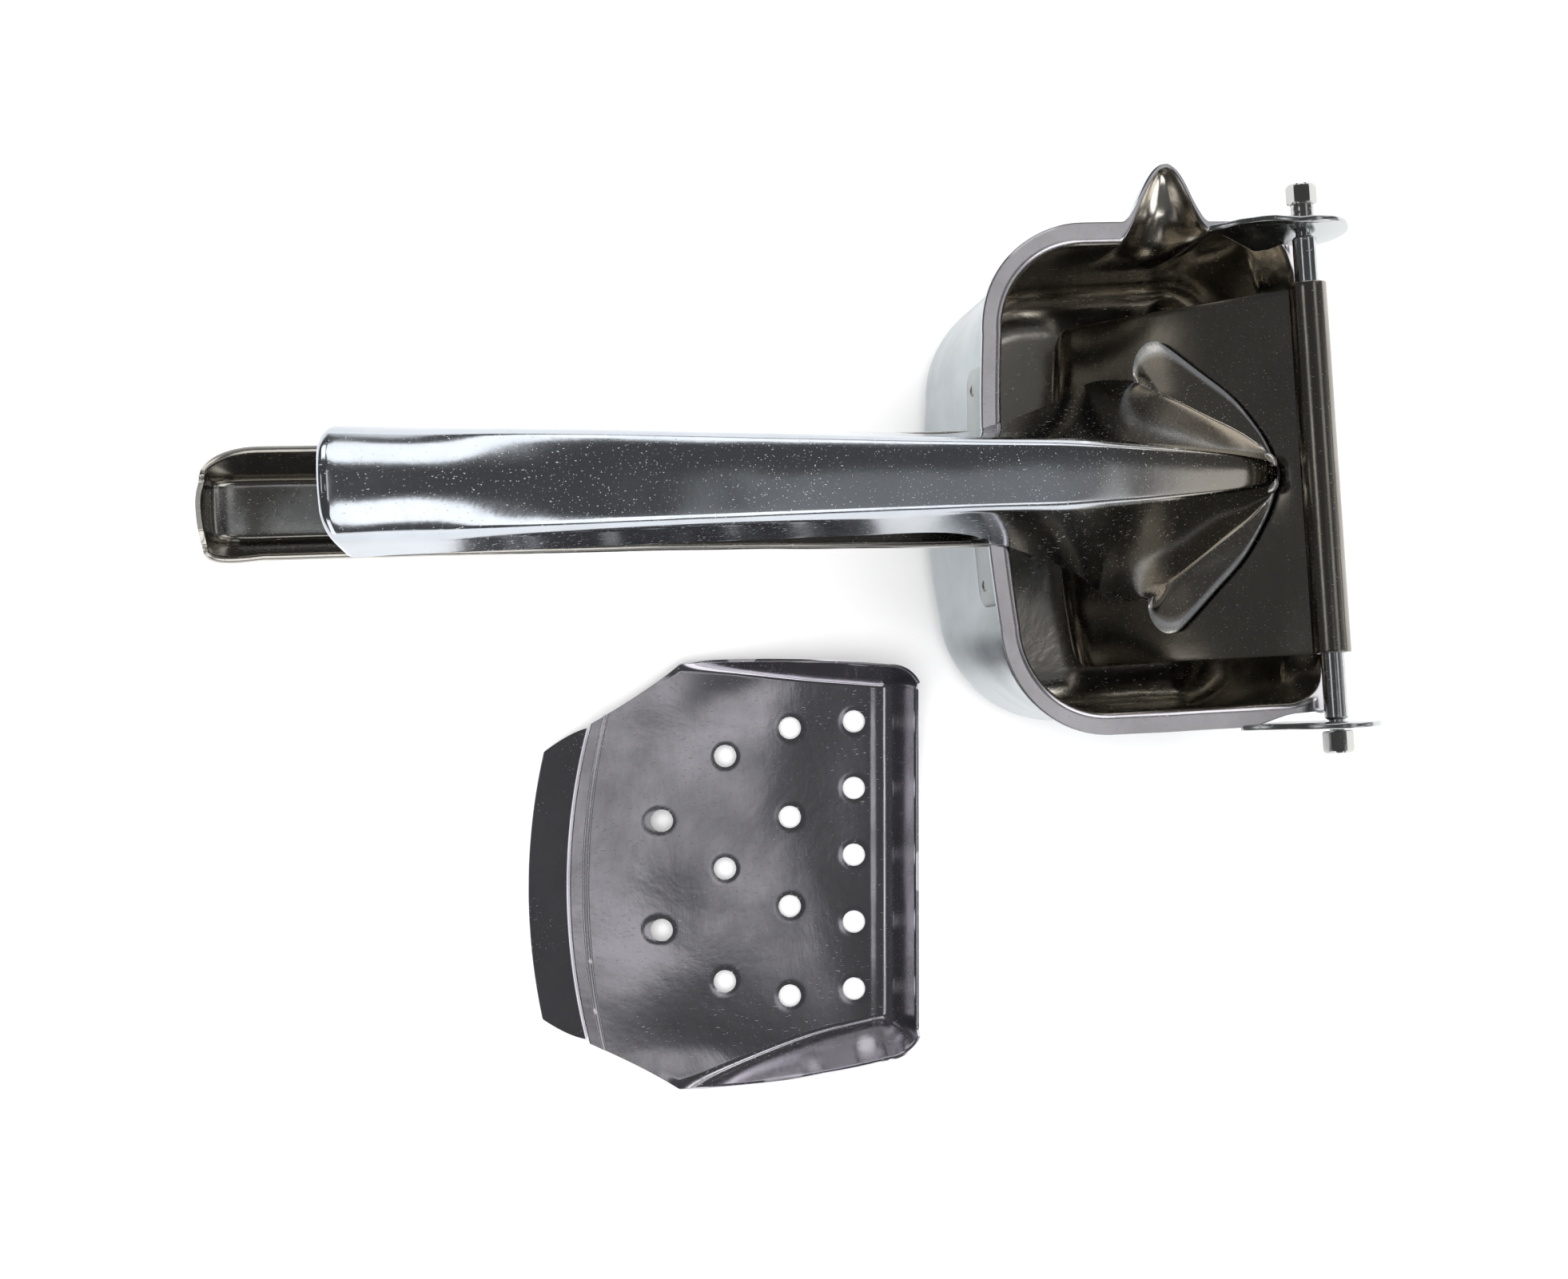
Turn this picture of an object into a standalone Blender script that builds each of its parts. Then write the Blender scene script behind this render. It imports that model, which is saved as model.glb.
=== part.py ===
"""Stainless steel potato ricer: bowl with side spout, channel handles, hinged press plate and strainer tray.

The bowl, handles and plate are drawn in a frame that starts on the hinge axis: "reach" runs from the hinge
towards the handle ends along the rim, "side" runs towards the spout, and "drop" runs down into the bowl.
"""

from math import atan2, cos, pi, radians, sin, sqrt

import bmesh
import bpy

# Overall placing, metres and radians
HINGE_X = 0.049
HINGE_Z = 0.053
RIM_TILT = radians(14.0)
SHEET = 0.0010
GAP = 0.0003

# Bowl
RIM_DROP = 0.0055
FRONT_REACH = 0.0655
REAR_REACH = 0.0020
BOWL_HALF = 0.0485
FRONT_BULGE = 0.0016
FRONT_CORNER = 0.0185
REAR_CORNER = 0.0120
FLANGE = 0.0047
WALL_DRAFT = 0.0006
BASE_FILLET = 0.0105
BASE_CORNER_GROWTH = 0.0060
RIM_ROUND = 0.0018
REAR_CUT_HALF = 0.0405
REAR_CUT_DROP = 0.0135
REAR_CORNER_FLARE = 0.0060
REAR_FLARE_DROP = 0.0085

# Spout
SPOUT_REACH = 0.0275
SPOUT_FRONT = 0.0105
SPOUT_REAR = 0.0088
SPOUT_OUT = 0.0150
SPOUT_LIP_OUT = 0.0122
SPOUT_FADE = 0.52

# Hinge ears and rod
SPOUT_EAR_INNER = 0.0490
FAR_EAR_INNER = 0.0530
EAR_THICK = 0.0012
EAR_RADIUS = 0.0093
EAR_LEAN = 0.06
EAR_HOLE = 0.0021
ROD_RADIUS = 0.0025
ROD_END_RADIUS = 0.0017
ROD_SHOULDER_GAP = 0.0005
NUT_FLATS = 0.0057
NUT_GAP = 0.0005
NUT_END = 0.0597
NUT_HEX_LENGTH = 0.0044
NUT_BORE = 0.0021
NUT_CAP = 0.0014

# Press plate and its rolled hinge barrel
PLATE_ANGLE = radians(45.5)
BARREL_RADIUS = 0.0035
BARREL_SWEEP = radians(300.0)
PLATE_HALF = 0.0388
PLATE_FRONT_HALF = 0.0376
PLATE_FLAT = 0.0568
PLATE_CORNER = 0.0075
LIP_RADIUS = 0.0090
LIP_TURN = radians(50.0)

# Handles
HANDLE_REACH = 0.2088
HANDLE_SLOPE = radians(16.2)
HANDLE_SKEW = -0.0125
WALL_HEIGHT = 0.0120
SHOULDER = 0.0022
LOWER_END = 0.2300
LOWER_START = 0.0684
LOWER_RIM_DROP = 0.0070
LOWER_FLOOR_DROP = 0.0205
TAB_TOP_DROP = 0.0070
TAB_FOOT_DROP = 0.0225
TAB_OUTER = 0.0250
TAB_CORNER = 0.0035
LOWER_SKEW = 0.0125
LOWER_ROOT_SHIFT = -0.0014

# Strainer tray
TRAY_SHEET = 0.0007
TRAY_FLOOR = 0.0630
TRAY_LENGTH = 0.0720
TRAY_HALF = 0.0474
TRAY_END_HALF = 0.0428
TRAY_SKEW = 0.078
TRAY_HOLE_SKEW = 0.105
TRAY_BOW = 0.0046
TRAY_NECK = 0.0355
TRAY_LIP_HALF = 0.0300
TRAY_CHAMFER = 0.0200
TRAY_CORNER = 0.0070
TRAY_WALL = 0.0160
TRAY_SIDE_FLARE = 0.0050
TRAY_LIP = 0.0090
TRAY_LIP_FALL = 0.0065
TRAY_HOLE = 0.0025
TRAY_PLACE = (-0.1108, -0.0788)
TRAY_TURN = radians(-3.4)
TRAY_HOLE_ROWS = (
    (0.0592, (-0.0300, -0.0150, 0.0, 0.0150, 0.0300)),
    (0.0448, (-0.0300, -0.0100, 0.0100, 0.0300)),
    (0.0302, (-0.0252, 0.0, 0.0252)),
    (0.0160, (-0.0122, 0.0122)),
)


def clear_scene():
    for obj in list(bpy.data.objects):
        bpy.data.objects.remove(obj, do_unlink=True)


def new_collection(name):
    collection = bpy.data.collections.new(name)
    bpy.context.scene.collection.children.link(collection)
    return collection


def steel(name, colour, roughness):
    material = bpy.data.materials.new(name)
    material.use_nodes = True
    shader = material.node_tree.nodes["Principled BSDF"]
    shader.inputs["Base Color"].default_value = (*colour, 1.0)
    shader.inputs["Roughness"].default_value = roughness
    shader.inputs["Metallic"].default_value = 1.0
    return material


def mesh_object(name, points, faces, collection):
    mesh = bpy.data.meshes.new(name)
    mesh.from_pydata(points, [], faces)
    mesh.update()
    obj = bpy.data.objects.new(name, mesh)
    collection.objects.link(obj)
    return obj


def smooth(obj):
    for polygon in obj.data.polygons:
        polygon.use_smooth = True


def hinge_point(reach, side, drop):
    """A point in the hinge frame, where handles point along -X and drop runs along -Z."""
    return (-reach, side, -drop)


def place_at_hinge(obj):
    obj.location = (HINGE_X, 0.0, HINGE_Z)
    obj.rotation_euler = (0.0, RIM_TILT, 0.0)


def mark_cutter(obj):
    obj.hide_render = True
    obj.display_type = "WIRE"


def combine(obj, other, operation):
    modifier = obj.modifiers.new(other.name, "BOOLEAN")
    modifier.object = other
    modifier.operation = operation
    modifier.solver = "EXACT"


def thicken(obj, thickness, offset):
    modifier = obj.modifiers.new("thickness", "SOLIDIFY")
    modifier.thickness = thickness
    modifier.offset = offset
    modifier.use_even_offset = True


def grid_faces(rows, columns, closed):
    """Faces joining rows of points, where closed rows wrap round."""
    faces = []
    last = columns if closed else columns - 1
    for row in range(rows - 1):
        for column in range(last):
            following = (column + 1) % columns
            faces.append(
                (
                    row * columns + column,
                    row * columns + following,
                    (row + 1) * columns + following,
                    (row + 1) * columns + column,
                )
            )
    return faces


def blend(first, second, fraction):
    return first + (second - first) * fraction


def ease(value):
    value = min(1.0, max(0.0, value))
    return value * value * (3.0 - 2.0 * value)


def cylinder_along_side(name, radius, start, end, segments, collection):
    """A round bar on the hinge axis between two side positions."""
    mesh = bpy.data.meshes.new(name)
    body = bmesh.new()
    bmesh.ops.create_cone(
        body, cap_ends=True, segments=segments, radius1=radius, radius2=radius, depth=end - start
    )
    for vertex in body.verts:
        x, y, z = vertex.co
        vertex.co = (x, z + (start + end) / 2.0, y)
    bmesh.ops.recalc_face_normals(body, faces=body.faces)
    body.to_mesh(mesh)
    body.free()
    obj = bpy.data.objects.new(name, mesh)
    collection.objects.link(obj)
    return obj


def flat_plate(name, outline, thickness, collection):
    """A flat plate drawn as a filled 2D curve and turned into a mesh, centred on its own XY plane."""
    curve = bpy.data.curves.new(name, "CURVE")
    curve.dimensions = "2D"
    curve.fill_mode = "BOTH"
    curve.extrude = thickness / 2.0
    spline = curve.splines.new("POLY")
    spline.points.add(len(outline) - 1)
    for point, (x, y) in zip(spline.points, outline):
        point.co = (x, y, 0.0, 1.0)
    spline.use_cyclic_u = True
    holder = bpy.data.objects.new(name + "_outline", curve)
    collection.objects.link(holder)
    graph = bpy.context.evaluated_depsgraph_get()
    mesh = bpy.data.meshes.new_from_object(holder.evaluated_get(graph))
    bpy.data.objects.remove(holder, do_unlink=True)
    body = bmesh.new()
    body.from_mesh(mesh)
    bmesh.ops.remove_doubles(body, verts=body.verts, dist=1e-6)
    bmesh.ops.recalc_face_normals(body, faces=body.faces)
    body.to_mesh(mesh)
    body.free()
    obj = bpy.data.objects.new(name, mesh)
    collection.objects.link(obj)
    return obj


def move_vertices(obj, mapping):
    for vertex in obj.data.vertices:
        vertex.co = mapping(*vertex.co)
    obj.data.update()


def face_outward(obj):
    body = bmesh.new()
    body.from_mesh(obj.data)
    bmesh.ops.recalc_face_normals(body, faces=body.faces)
    body.to_mesh(obj.data)
    body.free()


# Bowl ---------------------------------------------------------------------------------------------


def base_drop(reach):
    """Drop of the inner face of the base, which is level while the rim is tilted."""
    return (HINGE_Z - SHEET + reach * sin(RIM_TILT)) / cos(RIM_TILT)


def bowl_ring(offset, rear_sweep, depth):
    """One closed outline of the bowl, moved out of the rim's inner edge; the front corners widen with depth."""
    front = FRONT_REACH + offset
    rear = REAR_REACH - offset - rear_sweep
    half = BOWL_HALF + offset
    front_radius = FRONT_CORNER + offset + BASE_CORNER_GROWTH * depth
    rear_radius = REAR_CORNER + offset
    points = []

    def front_edge(side):
        return front + FRONT_BULGE * (1.0 - (side / (half - front_radius)) ** 2)

    def add_half(sign):
        half_points = []
        flat = half - front_radius
        for step in range(5):
            side = flat * step / 5.0
            half_points.append((front_edge(side), side))
        for step in range(7):
            angle = pi / 2.0 * step / 7.0
            reach = front - front_radius + front_radius * cos(angle)
            half_points.append((reach, half - front_radius + front_radius * sin(angle)))
        start = front - front_radius
        end = rear + rear_radius
        for step in range(18):
            half_points.append((blend(start, end, step / 18.0), half))
        for step in range(6):
            angle = pi / 2.0 * step / 6.0
            reach = rear + rear_radius - rear_radius * sin(angle)
            half_points.append((reach, half - rear_radius + rear_radius * cos(angle)))
        for step in range(4):
            half_points.append((rear, (half - rear_radius) * (1.0 - step / 4.0)))
        return [(reach, sign * side) for reach, side in half_points]

    forward = add_half(1.0)
    backward = add_half(-1.0)
    points.extend(forward)
    points.append((rear, 0.0))
    points.extend(reversed(backward[1:]))
    return points


def spout_bump(reach):
    width = SPOUT_FRONT if reach > SPOUT_REACH else SPOUT_REAR
    place = (reach - SPOUT_REACH) / width
    if abs(place) >= 1.0:
        return 0.0
    return (0.5 * (1.0 + cos(pi * place))) ** 0.8


def rear_flare(drop):
    """The rear corners sweep back towards the ears near the rim."""
    return REAR_CORNER_FLARE * (1.0 - ease((drop - RIM_DROP) / REAR_FLARE_DROP))


def bowl_levels():
    """Each level as offset from the inner rim edge, wall fraction down, drop below the flange and spout push."""
    levels = [(FLANGE, 0.0, 0.0, SPOUT_LIP_OUT), (FLANGE * 0.55, 0.0, 0.0, SPOUT_LIP_OUT + 0.0012)]
    for step in range(4):
        angle = pi / 2.0 * step / 3.0
        offset = RIM_ROUND * (1.0 - sin(angle))
        drop = RIM_ROUND * (1.0 - cos(angle))
        levels.append((offset, 0.0, drop, blend(SPOUT_LIP_OUT + 0.0014, SPOUT_OUT, step / 3.0)))
    for fraction in (0.06, 0.12, 0.19, 0.27, 0.38, 0.52, 0.75, 1.0):
        push = SPOUT_OUT * max(0.0, 1.0 - fraction / SPOUT_FADE) ** 1.5
        levels.append((-WALL_DRAFT * fraction, fraction, RIM_ROUND, push))
    for step in range(1, 5):
        angle = pi / 2.0 * step / 4.0
        offset = -WALL_DRAFT - BASE_FILLET * (1.0 - cos(angle))
        levels.append((offset, 1.0 + sin(angle), 0.0, 0.0))
    return levels


def bowl_point(reach, side, fraction, extra, push):
    if side > 0.8 * BOWL_HALF:
        side += spout_bump(reach) * push
    floor = base_drop(reach)
    wall_end = floor - BASE_FILLET
    if fraction <= 1.0:
        drop = blend(RIM_DROP + extra, wall_end, fraction)
    else:
        drop = wall_end + BASE_FILLET * (fraction - 1.0)
    return hinge_point(reach, side, drop)


def bowl_shell(collection):
    points = []
    levels = bowl_levels()
    for offset, fraction, extra, push in levels:
        rear_drop = blend(RIM_DROP + extra, base_drop(REAR_REACH) - BASE_FILLET, min(1.0, fraction))
        for reach, side in bowl_ring(offset, rear_flare(rear_drop), min(1.0, fraction)):
            points.append(bowl_point(reach, side, fraction, extra, push))
    count = len(points) // len(levels)
    faces = grid_faces(len(levels), count, True)
    faces.append(tuple(range((len(levels) - 1) * count, len(points))))
    obj = mesh_object("bowl", points, faces, collection)
    smooth(obj)
    return obj


def ear_outline():
    """Side view of an ear as reach and height: a round end on the hinge and a tail along the rim."""
    outline = []
    for step in range(25):
        angle = radians(60.0 + 225.0 * step / 24.0)
        outline.append((EAR_RADIUS * cos(angle), EAR_RADIUS * sin(angle)))
    outline.append((0.0060, -0.0125))
    outline.append((0.0130, -0.0100))
    outline.append((0.0200, -RIM_DROP - 0.0014))
    outline.append((0.0260, -RIM_DROP - 0.0010))
    outline.append((0.0255, -RIM_DROP + 0.0002))
    outline.append((0.0200, -RIM_DROP + 0.0026))
    outline.append((0.0140, -RIM_DROP + 0.0068))
    outline.append((0.0090, 0.0052))
    return outline


def ear(name, sign, inner, collection):
    obj = flat_plate(name, ear_outline(), EAR_THICK, collection)
    middle = inner + EAR_THICK / 2.0
    move_vertices(obj, lambda x, y, z: hinge_point(x, sign * (z + middle + EAR_LEAN * y), -y))
    face_outward(obj)
    return obj


def rear_cutter(collection):
    """Takes the rim flange and the top of the wall away behind the press plate."""
    half_outline = [
        (REAR_CUT_HALF, -REAR_CUT_DROP),
        (REAR_CUT_HALF + 0.0035, -0.0100),
        (REAR_CUT_HALF + 0.0065, -0.0075),
        (REAR_CUT_HALF + 0.0087, -0.0046),
        (REAR_CUT_HALF + 0.0087, 0.0200),
    ]
    outline = [(-side, height) for side, height in reversed(half_outline)] + half_outline
    obj = flat_plate("rear_cut", outline, 0.0300, collection)
    move_vertices(obj, lambda x, y, z: (z + 0.0057, x, y))
    face_outward(obj)
    return obj


def build_bowl(collection, cutters):
    bowl = bowl_shell(collection)
    thicken(bowl, SHEET, 1.0)
    tools = [
        (rear_cutter(cutters), "DIFFERENCE"),
        (ear("ear_spout_side", 1.0, SPOUT_EAR_INNER, cutters), "UNION"),
        (ear("ear_far_side", -1.0, FAR_EAR_INNER, cutters), "UNION"),
        (cylinder_along_side("ear_holes", EAR_HOLE, -0.060, 0.060, 24, cutters), "DIFFERENCE"),
    ]
    for tool, operation in tools:
        mark_cutter(tool)
        place_at_hinge(tool)
        combine(bowl, tool, operation)
    place_at_hinge(bowl)
    return bowl


# Press plate --------------------------------------------------------------------------------------


def plate_point(along, side, above):
    """A point given along the plate from the hinge and above its middle line through the hinge axis."""
    reach = along * cos(PLATE_ANGLE) + above * sin(PLATE_ANGLE)
    drop = along * sin(PLATE_ANGLE) - above * cos(PLATE_ANGLE)
    return hinge_point(reach, side, drop)


def plate_stations():
    """Along, above and half width for every row from the lip edge to the end of the barrel roll."""
    stations = []
    level = -BARREL_RADIUS
    for step in range(6):
        turn = LIP_TURN * (1.0 - step / 6.0)
        along = PLATE_FLAT + LIP_RADIUS * sin(turn)
        above = level - LIP_RADIUS * (1.0 - cos(turn))
        travelled = LIP_RADIUS * (LIP_TURN - turn)
        inset = 0.0
        if travelled < PLATE_CORNER:
            inset = PLATE_CORNER - sqrt(PLATE_CORNER**2 - (PLATE_CORNER - travelled) ** 2)
        stations.append((along, above, PLATE_FRONT_HALF - inset))
    for step in range(9):
        fraction = step / 9.0
        along = PLATE_FLAT * (1.0 - fraction)
        stations.append((along, level, blend(PLATE_FRONT_HALF, PLATE_HALF, fraction)))
    for step in range(21):
        angle = -pi / 2.0 - BARREL_SWEEP * step / 20.0
        stations.append((BARREL_RADIUS * cos(angle), BARREL_RADIUS * sin(angle), PLATE_HALF))
    return stations


def build_press_plate(collection):
    points = []
    stations = plate_stations()
    columns = 7
    for along, above, half in stations:
        for column in range(columns):
            side = half * (2.0 * column / (columns - 1) - 1.0)
            points.append(plate_point(along, side, above))
    faces = grid_faces(len(stations), columns, False)
    obj = mesh_object("press_plate", points, faces, collection)
    smooth(obj)
    thicken(obj, SHEET, 0.0)
    place_at_hinge(obj)
    return obj


# Upper handle -------------------------------------------------------------------------------------


def handle_stations():
    """Top line, half width of the top face and foot of the side wall, from the plate to the free end."""
    foot_level = -BARREL_RADIUS + SHEET / 2.0 + GAP + SHEET * 0.75

    def on_plate(along, side):
        reach = along * cos(PLATE_ANGLE) + foot_level * sin(PLATE_ANGLE)
        drop = along * sin(PLATE_ANGLE) - foot_level * cos(PLATE_ANGLE)
        return (reach, drop, side)

    stations = [
        ((0.0070, 0.0073), 0.0034, on_plate(0.0128, 0.0058)),
        ((0.0125, 0.0048), 0.0036, on_plate(0.0188, 0.0095)),
        ((0.0200, 0.0019), 0.0038, on_plate(0.0261, 0.0138)),
        ((0.0290, -0.0012), 0.0040, on_plate(0.0339, 0.0186)),
        ((0.0380, -0.0042), 0.0042, on_plate(0.0412, 0.0228)),
        ((0.0460, -0.0067), 0.0044, (0.0378, 0.0262, 0.0226)),
        ((0.0540, -0.0093), 0.0047, (0.0445, 0.0190, 0.0208)),
        ((0.0620, -0.0118), 0.0050, (0.0520, 0.0110, 0.0170)),
        ((0.0720, -0.0148), 0.0053, (0.0665, 0.0050, 0.0120)),
        ((0.0840, -0.0184), 0.0056, (0.0815, -0.0030, 0.0090)),
    ]
    start_reach, start_drop = stations[-1][0]
    for step in range(1, 8):
        fraction = step / 7.0
        reach = blend(start_reach, HANDLE_REACH - 0.0020, fraction)
        drop = start_drop - (reach - start_reach) * sin(HANDLE_SLOPE) / cos(HANDLE_SLOPE)
        height = blend(WALL_HEIGHT, WALL_HEIGHT * 0.92, fraction)
        foot_reach = reach + height * sin(HANDLE_SLOPE)
        foot_drop = drop + height * cos(HANDLE_SLOPE)
        foot = (foot_reach, foot_drop, blend(0.0090, 0.0112, fraction))
        stations.append(((reach, drop), blend(0.0056, 0.0079, fraction), foot))
    last_top, last_half, last_foot = stations[-1]
    end_top = (last_top[0] + 0.0020, last_top[1] - 0.0002)
    end_foot = (last_foot[0] + 0.0014, last_foot[1] - 0.0008, last_foot[2] - 0.0010)
    stations.append((end_top, last_half - 0.0008, end_foot))
    return stations


def handle_section(top, half, foot):
    """Half of the channel section: top face, rounded shoulder and flared wall, as reach, drop and side."""
    down_reach = foot[0] - top[0]
    down_drop = foot[1] - top[1]
    length = sqrt(down_reach**2 + down_drop**2)
    unit = (down_reach / length, down_drop / length)
    shoulder = min(SHOULDER, length * 0.35)
    flat = half - 0.0008
    section = [(0.0, 0.0), (flat * 0.6, 0.00015)]
    for step in range(4):
        angle = pi / 2.0 * step / 3.0
        side = flat + shoulder * sin(angle)
        fall = 0.0003 + shoulder * (1.0 - cos(angle))
        section.append((side, fall))
    start_side, start_fall = section[-1]
    for step in range(1, 5):
        fraction = step / 4.0
        section.append((blend(start_side, foot[2], fraction**1.15), blend(start_fall, length, fraction)))
    return [(top[0] + unit[0] * fall, top[1] + unit[1] * fall, side) for side, fall in section]


def wing_outline(sign):
    outline = [
        (0.0110, 0.0020),
        (0.0121, 0.0068),
        (0.0137, 0.0098),
        (0.0169, 0.0142),
        (0.0206, 0.0184),
        (0.0334, 0.0302),
        (0.0357, 0.0315),
        (0.0380, 0.0312),
        (0.0401, 0.0292),
        (0.0412, 0.0262),
        (0.0416, 0.0232),
        (0.0407, 0.0212),
        (0.0339, 0.0172),
        (0.0261, 0.0122),
        (0.0188, 0.0080),
        (0.0133, 0.0035),
    ]
    return [(along, sign * side) for along, side in outline]


def wing(name, sign, collection):
    obj = flat_plate(name, wing_outline(sign), SHEET, collection)
    level = -BARREL_RADIUS + SHEET / 2.0 + GAP + SHEET / 2.0
    move_vertices(obj, lambda x, y, z: plate_point(x, y, z + level))
    face_outward(obj)
    return obj


def build_upper_handle(collection, cutters):
    rows = []
    for top, half, foot in handle_stations():
        section = handle_section(top, half, foot)
        shift = HANDLE_SKEW * top[0]
        row = [hinge_point(reach, shift - side, drop) for reach, drop, side in reversed(section[1:])]
        row.extend(hinge_point(reach, shift + side, drop) for reach, drop, side in section)
        rows.append(row)
    points = [point for row in rows for point in row]
    faces = grid_faces(len(rows), len(rows[0]), False)
    obj = mesh_object("upper_handle", points, faces, collection)
    smooth(obj)
    thicken(obj, SHEET, -1.0)
    for name, sign in (("wing_spout_side", 1.0), ("wing_far_side", -1.0)):
        tool = wing(name, sign, cutters)
        mark_cutter(tool)
        place_at_hinge(tool)
        combine(obj, tool, "UNION")
    place_at_hinge(obj)
    return obj


# Lower handle -------------------------------------------------------------------------------------


def lower_stations():
    """Reach, half width at the wall tops, half floor width, wall top drop and floor drop."""
    stations = []
    for step in range(9):
        fraction = step / 8.0
        reach = blend(LOWER_START, 0.2130, fraction)
        top_half = blend(0.0120, 0.0111, ease(fraction * 2.0))
        stations.append((reach, top_half, 0.0058, LOWER_RIM_DROP, LOWER_FLOOR_DROP))
    for step in range(1, 6):
        fraction = step / 5.0
        reach = blend(0.2130, LOWER_END, sin(pi / 2.0 * fraction))
        top_half = 0.0111 - 0.0032 * fraction**2
        lift = 0.0040 * fraction**2
        stations.append((reach, top_half, 0.0058, LOWER_RIM_DROP + lift * 0.3, LOWER_FLOOR_DROP - lift))
    return stations


def lower_section(top_half, floor_half, top_drop, floor_drop):
    """Half of the upright channel section from the middle of the floor to the wall top."""
    radius = 0.0030
    section = [(0.0, floor_drop), (floor_half * 0.5, floor_drop)]
    for step in range(5):
        angle = pi / 2.0 * step / 4.0 * 0.82
        side = floor_half - radius * 0.4 + radius * sin(angle)
        section.append((side, floor_drop - radius * (1.0 - cos(angle))))
    start_side, start_drop = section[-1]
    for step in range(1, 4):
        fraction = step / 3.0
        section.append((blend(start_side, top_half, fraction), blend(start_drop, top_drop, fraction)))
    return section


def tab_outline(sign):
    """A spot-weld tab on the front wall, as side and height."""
    top = -TAB_TOP_DROP
    foot = -TAB_FOOT_DROP
    outline = [(0.0095, top)]
    for step in range(6):
        angle = pi / 2.0 * step / 5.0
        side = TAB_OUTER - TAB_CORNER + TAB_CORNER * sin(angle)
        outline.append((side, top - TAB_CORNER + TAB_CORNER * cos(angle)))
    for step in range(6):
        angle = pi / 2.0 * step / 5.0
        side = TAB_OUTER - TAB_CORNER + TAB_CORNER * cos(angle)
        outline.append((side, foot + TAB_CORNER - TAB_CORNER * sin(angle)))
    outline.append((0.0070, foot))
    outline.append((0.0060, foot + 0.0030))
    return [(sign * side, height) for side, height in outline]


def weld_tab(name, sign, collection):
    obj = flat_plate(name, tab_outline(sign), SHEET, collection)
    middle = LOWER_START + SHEET / 2.0

    def curved(x, y, z):
        bend = max(0.0, abs(x) - 0.0100)
        return hinge_point(middle + z - bend * 0.055, x, -y)

    move_vertices(obj, curved)
    face_outward(obj)
    return obj


def build_lower_handle(collection, cutters):
    rows = []
    for reach, top_half, floor_half, top_drop, floor_drop in lower_stations():
        section = lower_section(top_half, floor_half, top_drop, floor_drop)
        shift = LOWER_ROOT_SHIFT + LOWER_SKEW * (reach - LOWER_START)
        row = [hinge_point(reach, shift - side, drop) for side, drop in reversed(section[1:])]
        row.extend(hinge_point(reach, shift + side, drop) for side, drop in section)
        rows.append(row)
    points = [point for row in rows for point in row]
    faces = grid_faces(len(rows), len(rows[0]), False)
    obj = mesh_object("lower_handle", points, faces, collection)
    smooth(obj)
    thicken(obj, SHEET, 1.0)
    for name, sign in (("tab_spout_side", 1.0), ("tab_far_side", -1.0)):
        tool = weld_tab(name, sign, cutters)
        mark_cutter(tool)
        place_at_hinge(tool)
        combine(obj, tool, "UNION")
    place_at_hinge(obj)
    return obj


# Hinge rod and nuts -------------------------------------------------------------------------------


def build_rod(collection, cutters):
    start = -(FAR_EAR_INNER - ROD_SHOULDER_GAP)
    end = SPOUT_EAR_INNER - ROD_SHOULDER_GAP
    rod = cylinder_along_side("hinge_rod", ROD_RADIUS, start, end, 24, collection)
    reach = NUT_END - NUT_CAP - GAP
    thread = cylinder_along_side("rod_ends", ROD_END_RADIUS, -reach, reach, 20, cutters)
    mark_cutter(thread)
    place_at_hinge(thread)
    combine(rod, thread, "UNION")
    smooth(rod)
    smooth(thread)
    place_at_hinge(rod)
    return rod


def build_nut(name, sign, ear_inner, collection, cutters):
    """A small cap nut: a hexagon at the end of a round collar that reaches the ear."""
    start = ear_inner + EAR_THICK + NUT_GAP
    hex_start = NUT_END - NUT_HEX_LENGTH
    hexagon = sorted((sign * hex_start, sign * NUT_END))
    nut = cylinder_along_side(name, NUT_FLATS / sqrt(3.0), hexagon[0], hexagon[1], 6, collection)
    tools = []
    if hex_start - start > 0.001:
        collar = sorted((sign * start, sign * (hex_start + 0.001)))
        tools.append((cylinder_along_side(name + "_collar", ROD_RADIUS, *collar, 24, cutters), "UNION"))
    bore = sorted((sign * (start - 0.001), sign * (NUT_END - NUT_CAP)))
    tools.append((cylinder_along_side(name + "_bore", NUT_BORE, *bore, 20, cutters), "DIFFERENCE"))
    for tool, operation in tools:
        mark_cutter(tool)
        place_at_hinge(tool)
        combine(nut, tool, operation)
    place_at_hinge(nut)
    return nut


# Strainer tray ------------------------------------------------------------------------------------


def tray_half_width(along):
    """Outer half width of the tray seen from above."""
    if along < 0.0:
        return blend(TRAY_NECK - 0.0008, TRAY_LIP_HALF, (-along / TRAY_LIP) ** 1.6)
    if along < TRAY_CHAMFER:
        return blend(TRAY_NECK, TRAY_HALF, along / TRAY_CHAMFER)
    corner_start = TRAY_LENGTH - TRAY_CORNER
    if along > corner_start:
        into = (along - corner_start) / TRAY_CORNER
        return TRAY_END_HALF - TRAY_CORNER + TRAY_CORNER * sqrt(max(0.0, 1.0 - into**2))
    narrowing = ((along - TRAY_CHAMFER) / (corner_start - TRAY_CHAMFER)) ** 1.6
    return blend(TRAY_HALF, TRAY_END_HALF, narrowing)


def tray_height(along, side, half):
    """Height of the pressed sheet above its floor plane."""
    if along < 0.0:
        return -TRAY_LIP_FALL * (-along / TRAY_LIP) - 0.0007
    side_height = TRAY_WALL * ease((along - TRAY_CHAMFER * 0.7) / 0.045)
    flare = TRAY_SIDE_FLARE * ease((along - TRAY_CHAMFER * 0.5) / 0.045) + 0.0012
    into_side = (abs(side) - (half - flare)) / flare
    side_rise = side_height * min(1.0, max(0.0, into_side)) ** 1.25
    into_end = (along - TRAY_FLOOR) / (TRAY_LENGTH - TRAY_FLOOR)
    end_rise = TRAY_WALL * min(1.0, max(0.0, into_end)) ** 1.2
    return max(side_rise, end_rise)


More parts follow.
